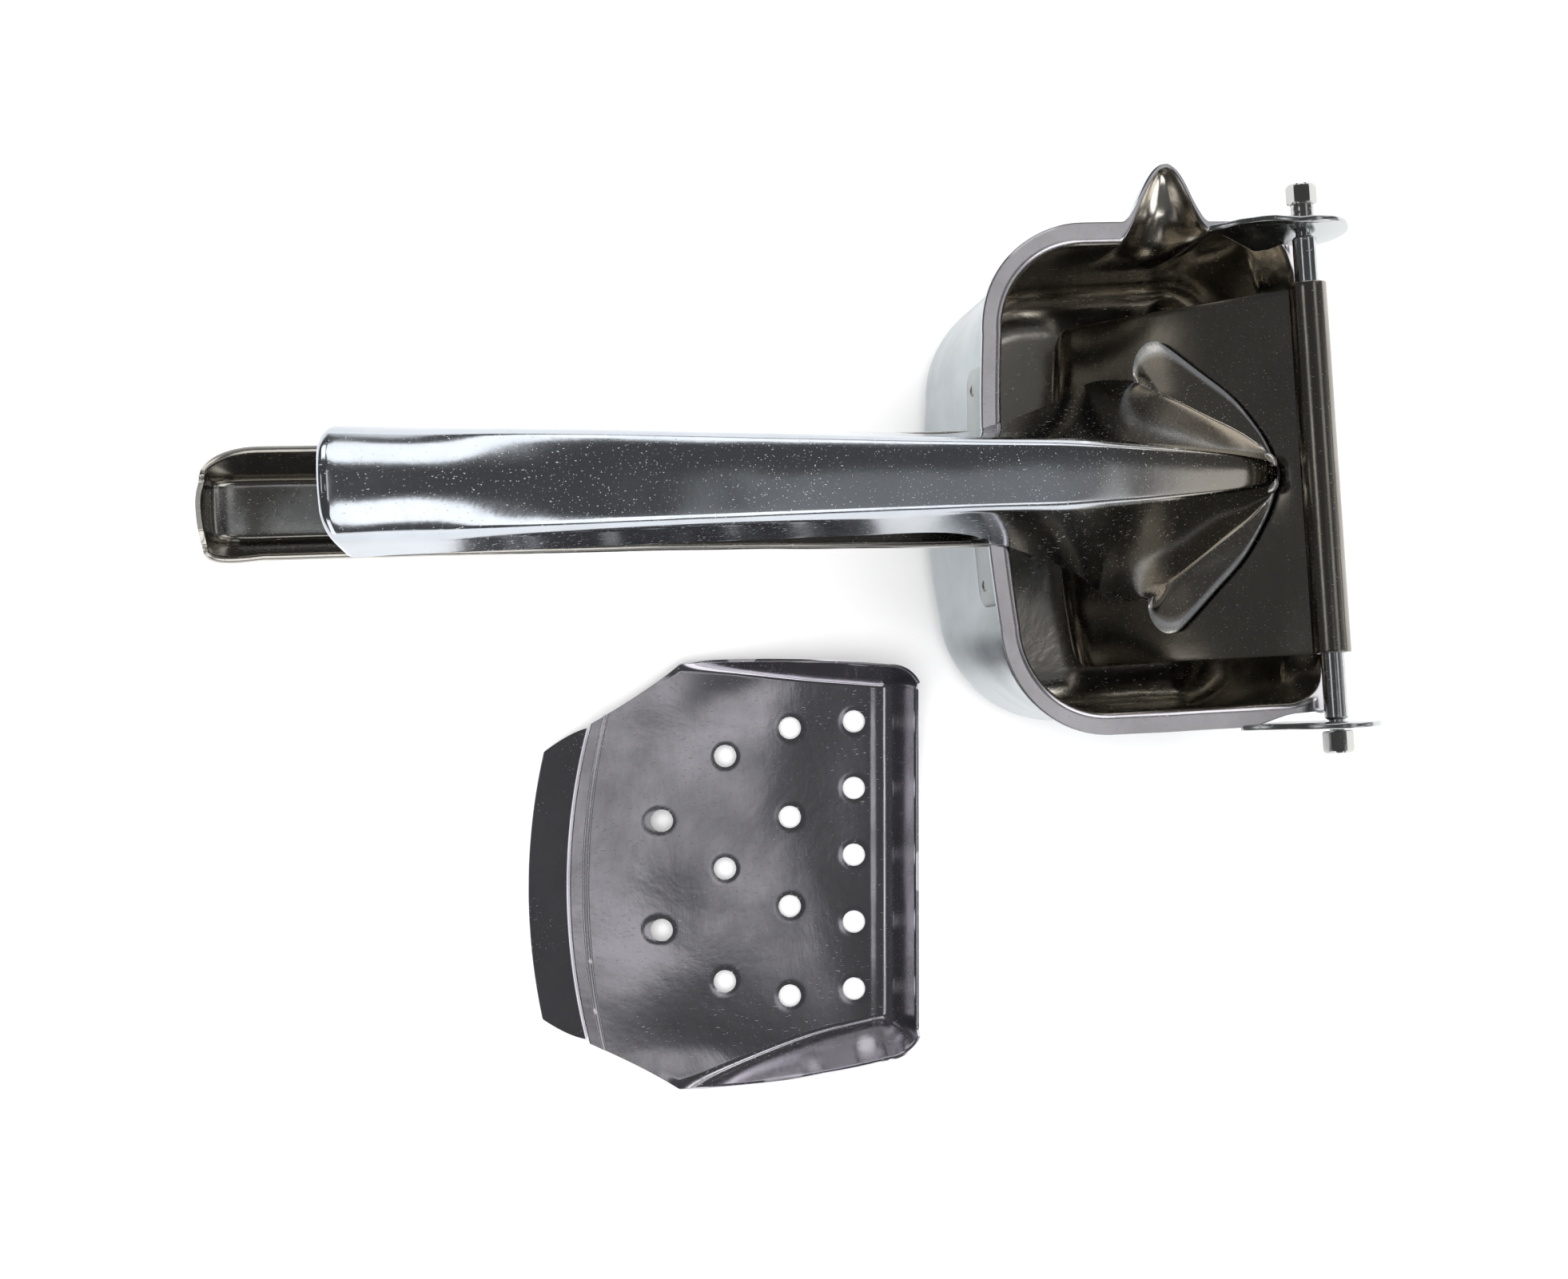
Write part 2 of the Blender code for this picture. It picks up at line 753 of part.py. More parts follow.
def tray_rows():
    rows = [-TRAY_LIP, -TRAY_LIP * 0.66, -TRAY_LIP * 0.33, -0.0008, 0.0008]
    rows.extend(TRAY_CHAMFER * step / 4.0 for step in range(1, 5))
    rows.extend(blend(TRAY_CHAMFER, TRAY_FLOOR - 0.0020, step / 6.0) for step in range(1, 7))
    rows.extend(blend(TRAY_FLOOR - 0.0020, TRAY_LENGTH - 0.0006, step / 7.0) for step in range(1, 8))
    return rows


def tray_columns(half, along):
    flare = TRAY_SIDE_FLARE * ease((along - TRAY_CHAMFER * 0.5) / 0.045) + 0.0012
    inner = half - flare
    sides = [inner * step / 5.0 for step in range(6)]
    sides.extend(inner + flare * step / 4.0 for step in range(1, 5))
    return [-side for side in reversed(sides[1:])] + sides


def lip_bow(along, side):
    """The lip and its fold bow outwards in the middle."""
    weight = max(0.0, 1.0 - max(0.0, along) / TRAY_CHAMFER)
    return -TRAY_BOW * weight * (1.0 - (side / TRAY_NECK) ** 2)


def tray_point(along, side, height):
    """The pressing is slightly skewed towards the spout side at its wall end."""
    return (along + lip_bow(along, side), side + TRAY_SKEW * along, height)


def tray_shell(collection):
    points = []
    rows = tray_rows()
    for along in rows:
        half = tray_half_width(along)
        for side in tray_columns(half, along):
            points.append(tray_point(along, side, tray_height(along, side, half)))
    faces = grid_faces(len(rows), len(points) // len(rows), False)
    obj = mesh_object("strainer", points, faces, collection)
    smooth(obj)
    return obj


def tray_hole_cutter(collection):
    """All strainer holes as upright pins in one cutter."""
    mesh = bpy.data.meshes.new("tray_holes")
    body = bmesh.new()
    for along, sides in TRAY_HOLE_ROWS:
        for side in sides:
            made = bmesh.ops.create_cone(
                body, cap_ends=True, segments=16, radius1=TRAY_HOLE, radius2=TRAY_HOLE, depth=0.012
            )
            for vertex in made["verts"]:
                vertex.co.x += along
                vertex.co.y += side + TRAY_HOLE_SKEW * along
    bmesh.ops.recalc_face_normals(body, faces=body.faces)
    body.to_mesh(mesh)
    body.free()
    obj = bpy.data.objects.new("tray_holes", mesh)
    collection.objects.link(obj)
    return obj


def place_on_table(obj):
    """The tray stands on its lip and on the fold at its end wall."""
    lean = atan2(TRAY_LIP_FALL + 0.0007, TRAY_FLOOR + TRAY_LIP)
    obj.rotation_euler = (0.0, lean, TRAY_TURN)
    height = TRAY_FLOOR * sin(lean) + TRAY_SHEET * cos(lean)
    obj.location = (TRAY_PLACE[0], TRAY_PLACE[1], height)


def build_strainer(collection, cutters):
    tray = tray_shell(collection)
    thicken(tray, TRAY_SHEET, 1.0)
    holes = tray_hole_cutter(cutters)
    mark_cutter(holes)
    place_on_table(holes)
    combine(tray, holes, "DIFFERENCE")
    place_on_table(tray)
    return tray


def main():
    clear_scene()
    ricer = new_collection("potato_ricer")
    cutters = new_collection("cutters")
    cutters.hide_render = True
    parts = [
        (build_bowl(ricer, cutters), (0.60, 0.60, 0.61), 0.22),
        (build_lower_handle(ricer, cutters), (0.58, 0.59, 0.60), 0.20),
        (build_upper_handle(ricer, cutters), (0.60, 0.61, 0.62), 0.18),
        (build_press_plate(ricer), (0.50, 0.49, 0.47), 0.24),
        (build_rod(ricer, cutters), (0.58, 0.58, 0.58), 0.20),
        (build_nut("pivot_nut_spout_side", 1.0, SPOUT_EAR_INNER, ricer, cutters), (0.70, 0.70, 0.70), 0.25),
        (build_nut("pivot_nut_far_side", -1.0, FAR_EAR_INNER, ricer, cutters), (0.70, 0.70, 0.70), 0.25),
        (build_strainer(ricer, cutters), (0.50, 0.50, 0.51), 0.20),
    ]
    for obj, colour, roughness in parts:
        obj.data.materials.append(steel(obj.name + "_steel", colour, roughness))


main()
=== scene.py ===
"""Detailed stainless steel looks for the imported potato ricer.

The bowl, handles and plate are drawn from the hinge axis: "reach" runs towards the handle ends along the
bowl's rim, "side" runs towards the spout, and "drop" runs down into the bowl. Everything is in metres.
"""

from math import atan2, cos, pi, radians, sin, sqrt

import bmesh
import bpy
from mathutils import Matrix, Vector, noise


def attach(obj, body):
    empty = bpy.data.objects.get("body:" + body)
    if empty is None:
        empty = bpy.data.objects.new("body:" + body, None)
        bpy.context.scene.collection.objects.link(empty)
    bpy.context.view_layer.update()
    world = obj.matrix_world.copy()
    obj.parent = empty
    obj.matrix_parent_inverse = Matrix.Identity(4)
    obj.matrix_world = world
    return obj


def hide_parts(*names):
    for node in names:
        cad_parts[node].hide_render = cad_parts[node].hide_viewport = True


HINGE = Vector((0.049, 0.0, 0.053))
RIM_TILT = radians(14.0)
SHEET = 0.0010
GAP = 0.0003

RIM_DROP = 0.0055
FRONT_REACH = 0.0655
REAR_REACH = 0.0020
BOWL_HALF = 0.0485
FRONT_BULGE = 0.0016
FRONT_CORNER = 0.0185
REAR_CORNER = 0.0120
FLANGE = 0.0047
WALL_DRAFT = 0.0006
BASE_FILLET = 0.0105
BASE_CORNER_GROWTH = 0.0060
RIM_ROUND = 0.0018
REAR_CUT_DROP = 0.0135
REAR_CORNER_FLARE = 0.0060
REAR_FLARE_DROP = 0.0085

SPOUT_REACH = 0.0275
SPOUT_FRONT = 0.0105
SPOUT_REAR = 0.0088
SPOUT_OUT = 0.0150
SPOUT_LIP_OUT = 0.0122
SPOUT_ROUND_OUT = 0.0136
SPOUT_LIP_BORDER = 0.0010
SPOUT_FADE = 0.66
SHOULDER_END = 0.0225
SHOULDER_OUT = 0.0034
EAR_FLANGE_END = 0.020
EAR_FLANGE_SHARE = 0.22

FLANGE_LEVELS = 7
ROUND_LEVELS = 10
WALL_LEVELS = 44
FILLET_LEVELS = 14
BASE_LEVELS = 6
FLANGE_FINISH_LEVELS = 12

EAR_THICK = 0.0012
EAR_RADIUS = 0.0093
EAR_TAIL = (
    (0.0060, -0.0125),
    (0.0110, -0.0100),
    (0.0160, -RIM_DROP - 0.0020),
    (0.0190, -RIM_DROP - 0.0006),
    (0.0184, -RIM_DROP + 0.0006),
    (0.0158, -RIM_DROP + 0.0022),
    (0.0134, -RIM_DROP + 0.0042),
    (0.0114, -RIM_DROP + 0.0066),
    (0.0101, 0.0034),
    (0.0085, 0.0054),
)
TAB_RIM = 0.0070
TAB_FOOT = 0.0225
TAB_HALF = 0.0250
TAB_CORNER = 0.0035

PLATE_ANGLE = radians(45.5)
BARREL_RADIUS = 0.0035
BARREL_SWEEP = radians(300.0)
PLATE_HALF = 0.0388
PLATE_FRONT_HALF = 0.0376
PLATE_FLAT = 0.0568
PLATE_CORNER = 0.0075
LIP_RADIUS = 0.0090
LIP_TURN = radians(50.0)
PLATE_CURL = 0.0030
PLATE_CURL_START = 0.036
PLATE_CURL_RUN = 0.022

HANDLE_REACH = 0.2136
HANDLE_SLOPE = radians(16.2)
HANDLE_SKEW = -0.0125
HANDLE_STRAIGHT = 0.0840
HANDLE_DROP = -0.0184
WALL_HEIGHT = 0.0120
WING_END_ROW = 5.0
BOSS_LEVEL = 0.0004
BOSS_PROFILE = (
    (1.0, 0.0),
    (0.98, 0.22),
    (0.90, 0.40),
    (0.78, 0.46),
    (0.66, 0.40),
    (0.50, 0.34),
    (0.30, 0.44),
    (0.12, 0.50),
)

LOWER_END = 0.2300
LOWER_TIP = 0.2175
LOWER_TIP_BOW = 0.0010
LOWER_START = 0.0684
LOWER_RIM_DROP = 0.0070
LOWER_FLOOR_DROP = 0.0205
LOWER_SKEW = 0.0125
LOWER_ROOT_SHIFT = -0.0014
LOWER_TOP_HALF = 0.0111
LOWER_FLOOR_HALF = 0.0058
LOWER_FILLET = 0.0030
LOWER_HEM = 0.0007
LOWER_STEPS = 118
LOWER_TIP_STEPS = 46

ROD_RADIUS = 0.0025
ROD_STEM = 0.0017
ROD_TIP = 0.0014
ROD_STEP = 0.0021
ROD_CHAMFER = 0.0003
ROD_END = 0.0575
ROD_FAR_SHOULDER = -0.0525
ROD_SPOUT_SHOULDER = 0.0485
NUT_WIDTH = 0.0057
NUT_TURN = radians(8.0)
NUT_START = ((0.0, 0.86), (0.0003, 0.97), (0.0006, 1.0))
NUT_END = ((0.0010, 1.0), (0.0005, 0.95), (0.0001, 0.82), (0.0, 0.55))

TRAY_SHEET = 0.0007
TRAY_FLOOR = 0.0630
TRAY_LENGTH = 0.0720
TRAY_HALF = 0.0474
TRAY_END_HALF = 0.0428
TRAY_SKEW = 0.078
TRAY_HOLE_SKEW = 0.105
TRAY_BOW = 0.0046
TRAY_NECK = 0.0355
TRAY_LIP_HALF = 0.0300
TRAY_CHAMFER = 0.0200
TRAY_CORNER = 0.0070
TRAY_WALL = 0.0160
TRAY_LIP = 0.0090
TRAY_LIP_FALL = 0.0065
TRAY_LIP_STEP = 0.0007
TRAY_HOLE = 0.0025
TRAY_DISH = 0.0066
TRAY_PLACE = (-0.1108, -0.0788)
TRAY_TURN = radians(-3.4)
TRAY_HOLE_ROWS = (
    (0.0592, (-0.0300, -0.0150, 0.0, 0.0150, 0.0300)),
    (0.0448, (-0.0300, -0.0100, 0.0100, 0.0300)),
    (0.0302, (-0.0252, 0.0, 0.0252)),
    (0.0160, (-0.0122, 0.0122)),
)

CAMERA_PLACE = Vector((-0.0667, -0.0587, 0.6504))
CAMERA_RIGHT = Vector((0.99827, -0.05879, 0.00058))
CAMERA_UP = Vector((0.05869, 0.99706, 0.04928))
CAMERA_BACK = Vector((-0.00348, -0.04916, 0.99878))
CAMERA_LENS = 66.06
FLOOR_HALF = 30.0
LIGHT_TARGET = Vector((-0.03, -0.02, 0.04))


# Small helpers ------------------------------------------------------------------------------------


def at(reach, side, drop):
    """World position of a point in the hinge frame."""
    x = -reach * cos(RIM_TILT) - drop * sin(RIM_TILT)
    z = reach * sin(RIM_TILT) - drop * cos(RIM_TILT)
    return HINGE + Vector((x, side, z))


def blend(first, second, fraction):
    return first + (second - first) * fraction


def ease(value):
    value = min(1.0, max(0.0, value))
    return value * value * (3.0 - 2.0 * value)


def wobble(point, size, seed):
    """Smooth unevenness from -1 to 1 with features of about the given size."""
    return noise.noise(point / size + Vector((seed, seed * 0.37, -seed * 0.71)))


def spline(rows, place):
    """Catmull-Rom interpolation through rows of numbers at a fractional row index."""
    last = len(rows) - 1
    place = min(float(last), max(0.0, place))
    index = min(last - 1, int(place))
    t = place - index
    p0 = rows[max(0, index - 1)]
    p1 = rows[index]
    p2 = rows[index + 1]
    p3 = rows[min(last, index + 2)]
    out = []
    for a, b, c, d in zip(p0, p1, p2, p3):
        linear = (c - a) * t
        square = (2.0 * a - 5.0 * b + 4.0 * c - d) * t * t
        cube = (3.0 * b - a - 3.0 * c + d) * t * t * t
        out.append(b + 0.5 * (linear + square + cube))
    return out


def link_object(name, data):
    obj = bpy.data.objects.new(name, data)
    bpy.context.scene.collection.objects.link(obj)
    return obj


def mesh_piece(name, points, faces):
    mesh = bpy.data.meshes.new(name)
    mesh.from_pydata([tuple(point) for point in points], [], faces)
    mesh.update()
    return link_object(name, mesh)


def grid_piece(name, rows, closed=False, cap_end=False):
    """A sheet through rows of points, with rows that may wrap round and a last row that may be filled."""
    columns = len(rows[0])
    points = [point for row in rows for point in row]
    faces = []
    last = columns if closed else columns - 1
    for row in range(len(rows) - 1):
        for column in range(last):
            near = row * columns + column
            beside = row * columns + (column + 1) % columns
            faces.append((near, beside, beside + columns, near + columns))
    if cap_end:
        faces.append(tuple(range((len(rows) - 1) * columns, len(points))))
    return mesh_piece(name, points, faces)


def close_ends(obj):
    """Fills the open ends of a round piece and turns its faces outwards."""
    body = bmesh.new()
    body.from_mesh(obj.data)
    bmesh.ops.holes_fill(body, edges=body.edges)
    bmesh.ops.recalc_face_normals(body, faces=body.faces)
    body.to_mesh(obj.data)
    body.free()


def apply_modifiers(obj):
    graph = bpy.context.evaluated_depsgraph_get()
    mesh = bpy.data.meshes.new_from_object(obj.evaluated_get(graph))
    obj.modifiers.clear()
    obj.data = mesh


def thicken(obj, thickness, offset):
    modifier = obj.modifiers.new("thickness", "SOLIDIFY")
    modifier.thickness = thickness
    modifier.offset = offset


def soften_edges(obj, width, segments, angle):
    modifier = obj.modifiers.new("soft_edges", "BEVEL")
    modifier.width = width
    modifier.segments = segments
    modifier.limit_method = "ANGLE"
    modifier.angle_limit = radians(angle)


def shade(obj, angle=38.0):
    apply_modifiers(obj)
    obj.data.shade_smooth()
    obj.data.set_sharp_from_angle(angle=radians(angle))


def finish_piece(obj, material, body, nodes=()):
    obj.data.materials.clear()
    obj.data.materials.append(material)
    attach(obj, body)
    if nodes:
        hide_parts(*nodes)


# Materials ----------------------------------------------------------------------------------------


class Graph:
    """Short names for building a material's node tree."""

    def __init__(self, name):
        self.material = bpy.data.materials.new(name)
        self.material.use_nodes = True
        self.tree = self.material.node_tree
        self.shader = self.tree.nodes["Principled BSDF"]
        self.coordinates = self.node("ShaderNodeTexCoord").outputs["Object"]

    def put(self, socket, value):
        """Links an output to a socket, or sets the socket to a value."""
        if isinstance(value, bpy.types.NodeSocket):
            self.tree.links.new(value, socket)
        else:
            socket.default_value = value

    def fill(self, node, **values):
        """Links or sets a node's inputs, whose names are given with underscores for spaces."""
        for name, value in values.items():
            self.put(node.inputs[name.replace("_", " ")], value)

    def node(self, kind, **values):
        node = self.tree.nodes.new(kind)
        self.fill(node, **values)
        return node

    def mapping(self, scale, turn=(0.0, 0.0, 0.0)):
        node = self.node("ShaderNodeMapping", Vector=self.coordinates, Scale=scale, Rotation=turn)
        return node.outputs["Vector"]

    def noise(self, vector, scale, detail, roughness=0.55, distortion=0.0):
        node = self.node("ShaderNodeTexNoise", Vector=vector, Scale=scale, Detail=detail)
        self.fill(node, Roughness=roughness, Distortion=distortion)
        return node.outputs["Fac"]

    def ramp(self, value, start, end):
        """Turns a value into grey between a start and an end, each given as place and level."""
        node = self.node("ShaderNodeValToRGB", Fac=value)
        for element, (place, level) in zip(node.color_ramp.elements, (start, end)):
            element.position = place
            element.color = (level, level, level, 1.0)
        return node.outputs["Color"]

    def maths(self, operation, first, second):
        node = self.node("ShaderNodeMath")
        node.operation = operation
        self.put(node.inputs[0], first)
        self.put(node.inputs[1], second)
        return node.outputs["Value"]

    def mix(self, factor, first, second):
        node = self.node("ShaderNodeMix")
        node.data_type = "RGBA"
        self.fill(node, Factor=factor)
        for socket, value in ((node.inputs[6], first), (node.inputs[7], second)):
            self.put(socket, (*value, 1.0) if isinstance(value, tuple) else value)
        return node.outputs[2]

    def bump(self, height, strength, distance):
        node = self.node("ShaderNodeBump", Height=height, Strength=strength, Distance=distance)
        return node.outputs["Normal"]

    def along_x(self, start, end):
        """0 before one X position and 1 beyond another."""
        place = self.node("ShaderNodeSeparateXYZ", Vector=self.coordinates)
        node = self.node("ShaderNodeMapRange", Value=place.outputs["X"], From_Min=start, From_Max=end)
        node.interpolation_type = "SMOOTHSTEP"
        return node.outputs["Result"]

    def pointiness(self):
        return self.node("ShaderNodeNewGeometry").outputs["Pointiness"]


SCRATCH_TURNS = ((0.0, 0.0, 0.15), (0.4, 0.0, 0.95), (0.0, 0.5, -0.70), (0.3, 0.2, 1.75), (0.1, 0.8, -0.2))


def scratches_and_specks(graph, plain):
    """Short scratches in several directions and small worn specks, gathered in patches."""
    mark = 0.0
    for index, turn in enumerate(SCRATCH_TURNS):
        vector = graph.mapping((420.0 + 90.0 * index, 3000.0, 3000.0), turn)
        dash = graph.ramp(graph.noise(vector, 1.0, 1.0, 0.5, 0.3), (0.755, 0.0), (0.785, 1.0))
        mark = graph.maths("MAXIMUM", dash, mark)
    patch = graph.ramp(graph.noise(plain, 55.0, 4.0, 0.6), (0.38, 0.25), (0.60, 1.0))
    mark = graph.maths("MULTIPLY", mark, patch)
    speck = graph.ramp(graph.noise(plain, 3000.0, 1.0, 0.5), (0.775, 0.0), (0.81, 1.0))
    return graph.maths("MAXIMUM", mark, graph.maths("MULTIPLY", speck, patch))


def weighted_sum(graph, parts):
    """Adds up values, each given with its weight."""
    total = 0.0
    for value, weight in parts:
        total = graph.maths("ADD", graph.maths("MULTIPLY", value, weight), total)
    return total


def steel(name, colour, roughness, grain, marks, smudges, ripple, root_reflection=None, edge_wear_and_highlight=0.6):
    """Stainless steel with brushing, scratches, smudges, gentle ripples, and lighter edges that are partly
    worn and partly a painted edge highlight.

    A root colour is a painted reflection: a start, an end and a colour that takes over between those two X
    positions.
    """
    graph = Graph(name)
    plain = graph.mapping((1.0, 1.0, 1.0))
    brushing = graph.noise(graph.mapping(tuple(220.0 * value for value in grain)), 1.0, 4.0, 0.65)
    cloud = graph.noise(plain, 38.0, 5.0, 0.6, 0.4)
    mark = scratches_and_specks(graph, plain)
    smudge = graph.ramp(cloud, (0.35, 0.0), (0.75, 1.0))
    # Mask of pointy edges, which are lightened partly as wear and partly as a painted edge highlight.
    edge = graph.ramp(graph.pointiness(), (0.540, 0.0), (0.625, 1.0))

    darker = tuple(value * 0.66 for value in colour)
    lighter = tuple(min(1.0, value * 1.25 + 0.08) for value in colour)
    base = graph.mix(graph.maths("MULTIPLY", smudge, 0.9 * smudges), colour, darker)
    # Painted reflection of the plate: a warm colour takes over at the handle's root.
    if root_reflection is not None:
        base = graph.mix(graph.along_x(root_reflection[0], root_reflection[1]), base, root_reflection[2])
    base = graph.mix(graph.maths("MULTIPLY", mark, 0.9 * marks), base, lighter)
    # Painted edge highlight, partly also wear: pointy edges get the lighter colour.
    base = graph.mix(graph.maths("MULTIPLY", edge, 0.7), base, lighter)

    rough = weighted_sum(graph, ((smudge, 0.10 * smudges), (brushing, 0.05), (mark, 0.55 * marks)))
    rough = graph.maths("ADD", rough, roughness - 0.04)
    height = weighted_sum(graph, ((brushing, 0.10), (mark, -0.9 * marks), (cloud, 5.0 * ripple)))
    # Edges also lose some metal look, partly as wear and partly as a painted edge highlight.
    worn_and_highlit_edge = graph.maths("MULTIPLY", edge, edge_wear_and_highlight)
    worn_and_highlit = graph.maths("MAXIMUM", graph.maths("MULTIPLY", mark, marks), worn_and_highlit_edge)
    metallic = graph.maths("SUBTRACT", 1.0, graph.maths("MULTIPLY", worn_and_highlit, 0.5))
    graph.fill(graph.shader, Base_Color=base, Roughness=rough, Metallic=metallic)
    graph.fill(graph.shader, Normal=graph.bump(height, 0.30, 0.00012))
    return graph.material


# Material name, colour, roughness, grain, and the amounts of marks, smudges and ripple.
FINISHES = {
    # The bowl's inside and outside are the same steel: the warm inside colour and the cool blue-grey outside
    # colour are painted reflection tints.
    "bowl": ("bowl_inside_warm_reflection_tint", (0.78, 0.74, 0.67), 0.17, (6.0, 6.0, 1.0), 0.35, 0.9, 1.2),
    "bowl_out": ("bowl_outside_cool_reflection_tint", (0.39, 0.435, 0.46), 0.19, (6.0, 6.0, 1.0), 0.35, 1.0, 0.7),
    "ear": ("ear_polished", (0.47, 0.49, 0.49), 0.20, (1.0, 8.0, 8.0), 0.4, 0.5, 0.4),
    # The plate's dark, warm colour is a painted reflection tint of the bowl's dark inside.
    "plate": ("plate_dark_reflection_tint", (0.28, 0.265, 0.235), 0.19, (8.0, 1.0, 8.0), 0.45, 0.8, 0.7),
    "lower": ("lower_handle_polished", (0.36, 0.345, 0.315), 0.17, (1.0, 9.0, 9.0), 0.5, 0.6, 0.5),
    "tab": ("handle_tab_polished", (0.28, 0.31, 0.315), 0.20, (3.0, 3.0, 3.0), 0.6, 0.9, 0.4),
    "rod": ("rod_drawn", (0.50, 0.51, 0.52), 0.15, (8.0, 1.0, 8.0), 0.5, 0.4, 0.2),
    "nut": ("nut_bright", (0.46, 0.46, 0.445), 0.18, (8.0, 2.0, 8.0), 0.5, 0.4, 0.2),
    # The pale, rougher weld bosses are a painted highlight of the bright folded sheet at the pinch.
    "boss": ("weld_boss_painted_highlight", (0.86, 0.85, 0.81), 0.34, (3.0, 3.0, 3.0), 0.6, 0.3, 0.2),
    "weld": ("weld_mark", (0.30, 0.27, 0.25), 0.32, (3.0, 3.0, 3.0), 0.4, 0.8, 0.3),
    # The strainer's lilac colour is a painted reflection tint.
    "tray": ("strainer_lilac_reflection_tint", (0.56, 0.545, 0.59), 0.14, (9.0, 1.0, 9.0), 0.4, 1.0, 0.5),
}
FLANGE_FINISH = ("bowl_flange_satin", (0.56, 0.545, 0.57), 0.22, (3.0, 3.0, 3.0), 0.25, 0.6, 0.3)
HANDLE_FINISH = ("upper_handle_polished", (0.49, 0.52, 0.56), 0.13, (1.0, 9.0, 9.0), 0.8, 0.6, 0.3)
# The warm colour at the upper handle's root, between two X positions, is a painted reflection of the plate.
HANDLE_ROOT_REFLECTION = (-0.012, 0.028, (0.40, 0.37, 0.325))


def make_materials():
    materials = {part: steel(*finish) for part, finish in FINISHES.items()}
    materials["flange"] = steel(*FLANGE_FINISH, edge_wear_and_highlight=0.3)
    materials["handle"] = steel(*HANDLE_FINISH, root_reflection=HANDLE_ROOT_REFLECTION, edge_wear_and_highlight=0.25)
    return materials


# Bowl ---------------------------------------------------------------------------------------------


def base_drop(reach):
    return (HINGE.z - SHEET + reach * sin(RIM_TILT)) / cos(RIM_TILT)


def half_ring(offset, rear_sweep, depth):
    """The ring's spout half from the front's middle to the rear's, as reach, side and rear cut share."""
    front = FRONT_REACH + offset
    rear = REAR_REACH - offset - rear_sweep
    half = BOWL_HALF + offset
    front_radius = FRONT_CORNER + offset + BASE_CORNER_GROWTH * depth
    rear_radius = REAR_CORNER + offset
    flat = half - front_radius
    points = []
    for step in range(26):
        side = flat * step / 26.0
        points.append((front + FRONT_BULGE * (1.0 - (side / flat) ** 2), side, 0.0))
    for step in range(28):
        angle = pi / 2.0 * step / 28.0
        reach = front - front_radius + front_radius * cos(angle)
        points.append((reach, half - front_radius + front_radius * sin(angle), 0.0))
    start = front - front_radius
    end = rear + rear_radius
    for step in range(84):
        points.append((blend(start, end, step / 84.0), half, 0.0))
    for step in range(24):
        angle = pi / 2.0 * step / 24.0
        reach = rear + rear_radius - rear_radius * sin(angle)
        points.append((reach, half - rear_radius + rear_radius * cos(angle), ease((step - 6.0) / 14.0)))
    for step in range(18):
        points.append((rear, (half - rear_radius) * (1.0 - step / 18.0), 1.0))
    return points


def ring(offset, rear_sweep, depth):
    """Closed outline of the bowl as reach, side and how much of the low rear cut applies."""
    half = half_ring(offset, rear_sweep, depth)
    rear = REAR_REACH - offset - rear_sweep
    points = list(half)
    points.append((rear, 0.0, 1.0))
    points.extend((reach, -side, cut) for reach, side, cut in reversed(half[1:]))
    return points


def spout_bump(reach):
    width = SPOUT_FRONT if reach > SPOUT_REACH else SPOUT_REAR
    place = (reach - SPOUT_REACH) / width
    if abs(place) >= 1.0:
        return 0.0
    return (0.5 * (1.0 + cos(pi * place))) ** 0.8


def spout_push(bump, push, offset):
    """How far the spout moves a rim or wall point out, with a border that thins towards the spout's tip."""
    border = blend(FLANGE, SPOUT_LIP_BORDER, min(1.0, bump) ** 0.45)
    widened = FLANGE + SPOUT_LIP_OUT * bump - border
    share = push / SPOUT_OUT
    if offset <= 0.0:
        return blend(bump * push, widened, ease(2.0 * share - 1.0))
    return blend(widened, SPOUT_LIP_OUT * bump, offset / FLANGE)


def shoulder_push(reach, offset, fraction):
    """The wall between the spout and the rear corner leans out and takes up most of the flange there."""
    along = ease((SHOULDER_END - reach) / 0.0060) * ease((reach + 0.0010) / 0.0100)
    if offset > 0.0:
        return SHOULDER_OUT * along * (1.0 - offset / FLANGE)
    return SHOULDER_OUT * along * max(0.0, 1.0 - fraction / 0.85) ** 1.3


def rear_flare(drop):
    return REAR_CORNER_FLARE * (1.0 - ease((drop - RIM_DROP) / REAR_FLARE_DROP))


def bowl_levels():
    """Offset, fraction down the wall, drop below the flange and spout push of each level."""
    levels = []
    for step in range(FLANGE_LEVELS):
        fraction = step / FLANGE_LEVELS
        push = blend(SPOUT_LIP_OUT, SPOUT_ROUND_OUT, fraction)
        levels.append((blend(FLANGE, RIM_ROUND, fraction), 0.0, 0.0, push))
    for step in range(ROUND_LEVELS):
        fraction = step / (ROUND_LEVELS - 1.0)
        angle = pi / 2.0 * fraction
        offset = RIM_ROUND * (1.0 - sin(angle))
        drop = RIM_ROUND * (1.0 - cos(angle))
        levels.append((offset, 0.0, drop, blend(SPOUT_ROUND_OUT, SPOUT_OUT, fraction)))
    for step in range(1, WALL_LEVELS + 1):
        fraction = (step / WALL_LEVELS) ** 1.15
        push = SPOUT_OUT * max(0.0, 1.0 - fraction / SPOUT_FADE) ** 2.4
        levels.append((-WALL_DRAFT * fraction, fraction, RIM_ROUND, push))
    for step in range(1, FILLET_LEVELS + 1):
        angle = pi / 2.0 * step / FILLET_LEVELS
        offset = -WALL_DRAFT - BASE_FILLET * (1.0 - cos(angle))
        levels.append((offset, 1.0 + sin(angle), 0.0, 0.0))
    return levels


def bowl_drop(reach, fraction, extra, cut):
    floor = base_drop(reach)
    wall_end = floor - BASE_FILLET
    top = RIM_DROP + extra + (REAR_CUT_DROP - RIM_DROP) * cut
    if fraction <= 1.0:
        return blend(top, wall_end, fraction)
    return wall_end + BASE_FILLET * (fraction - 1.0)


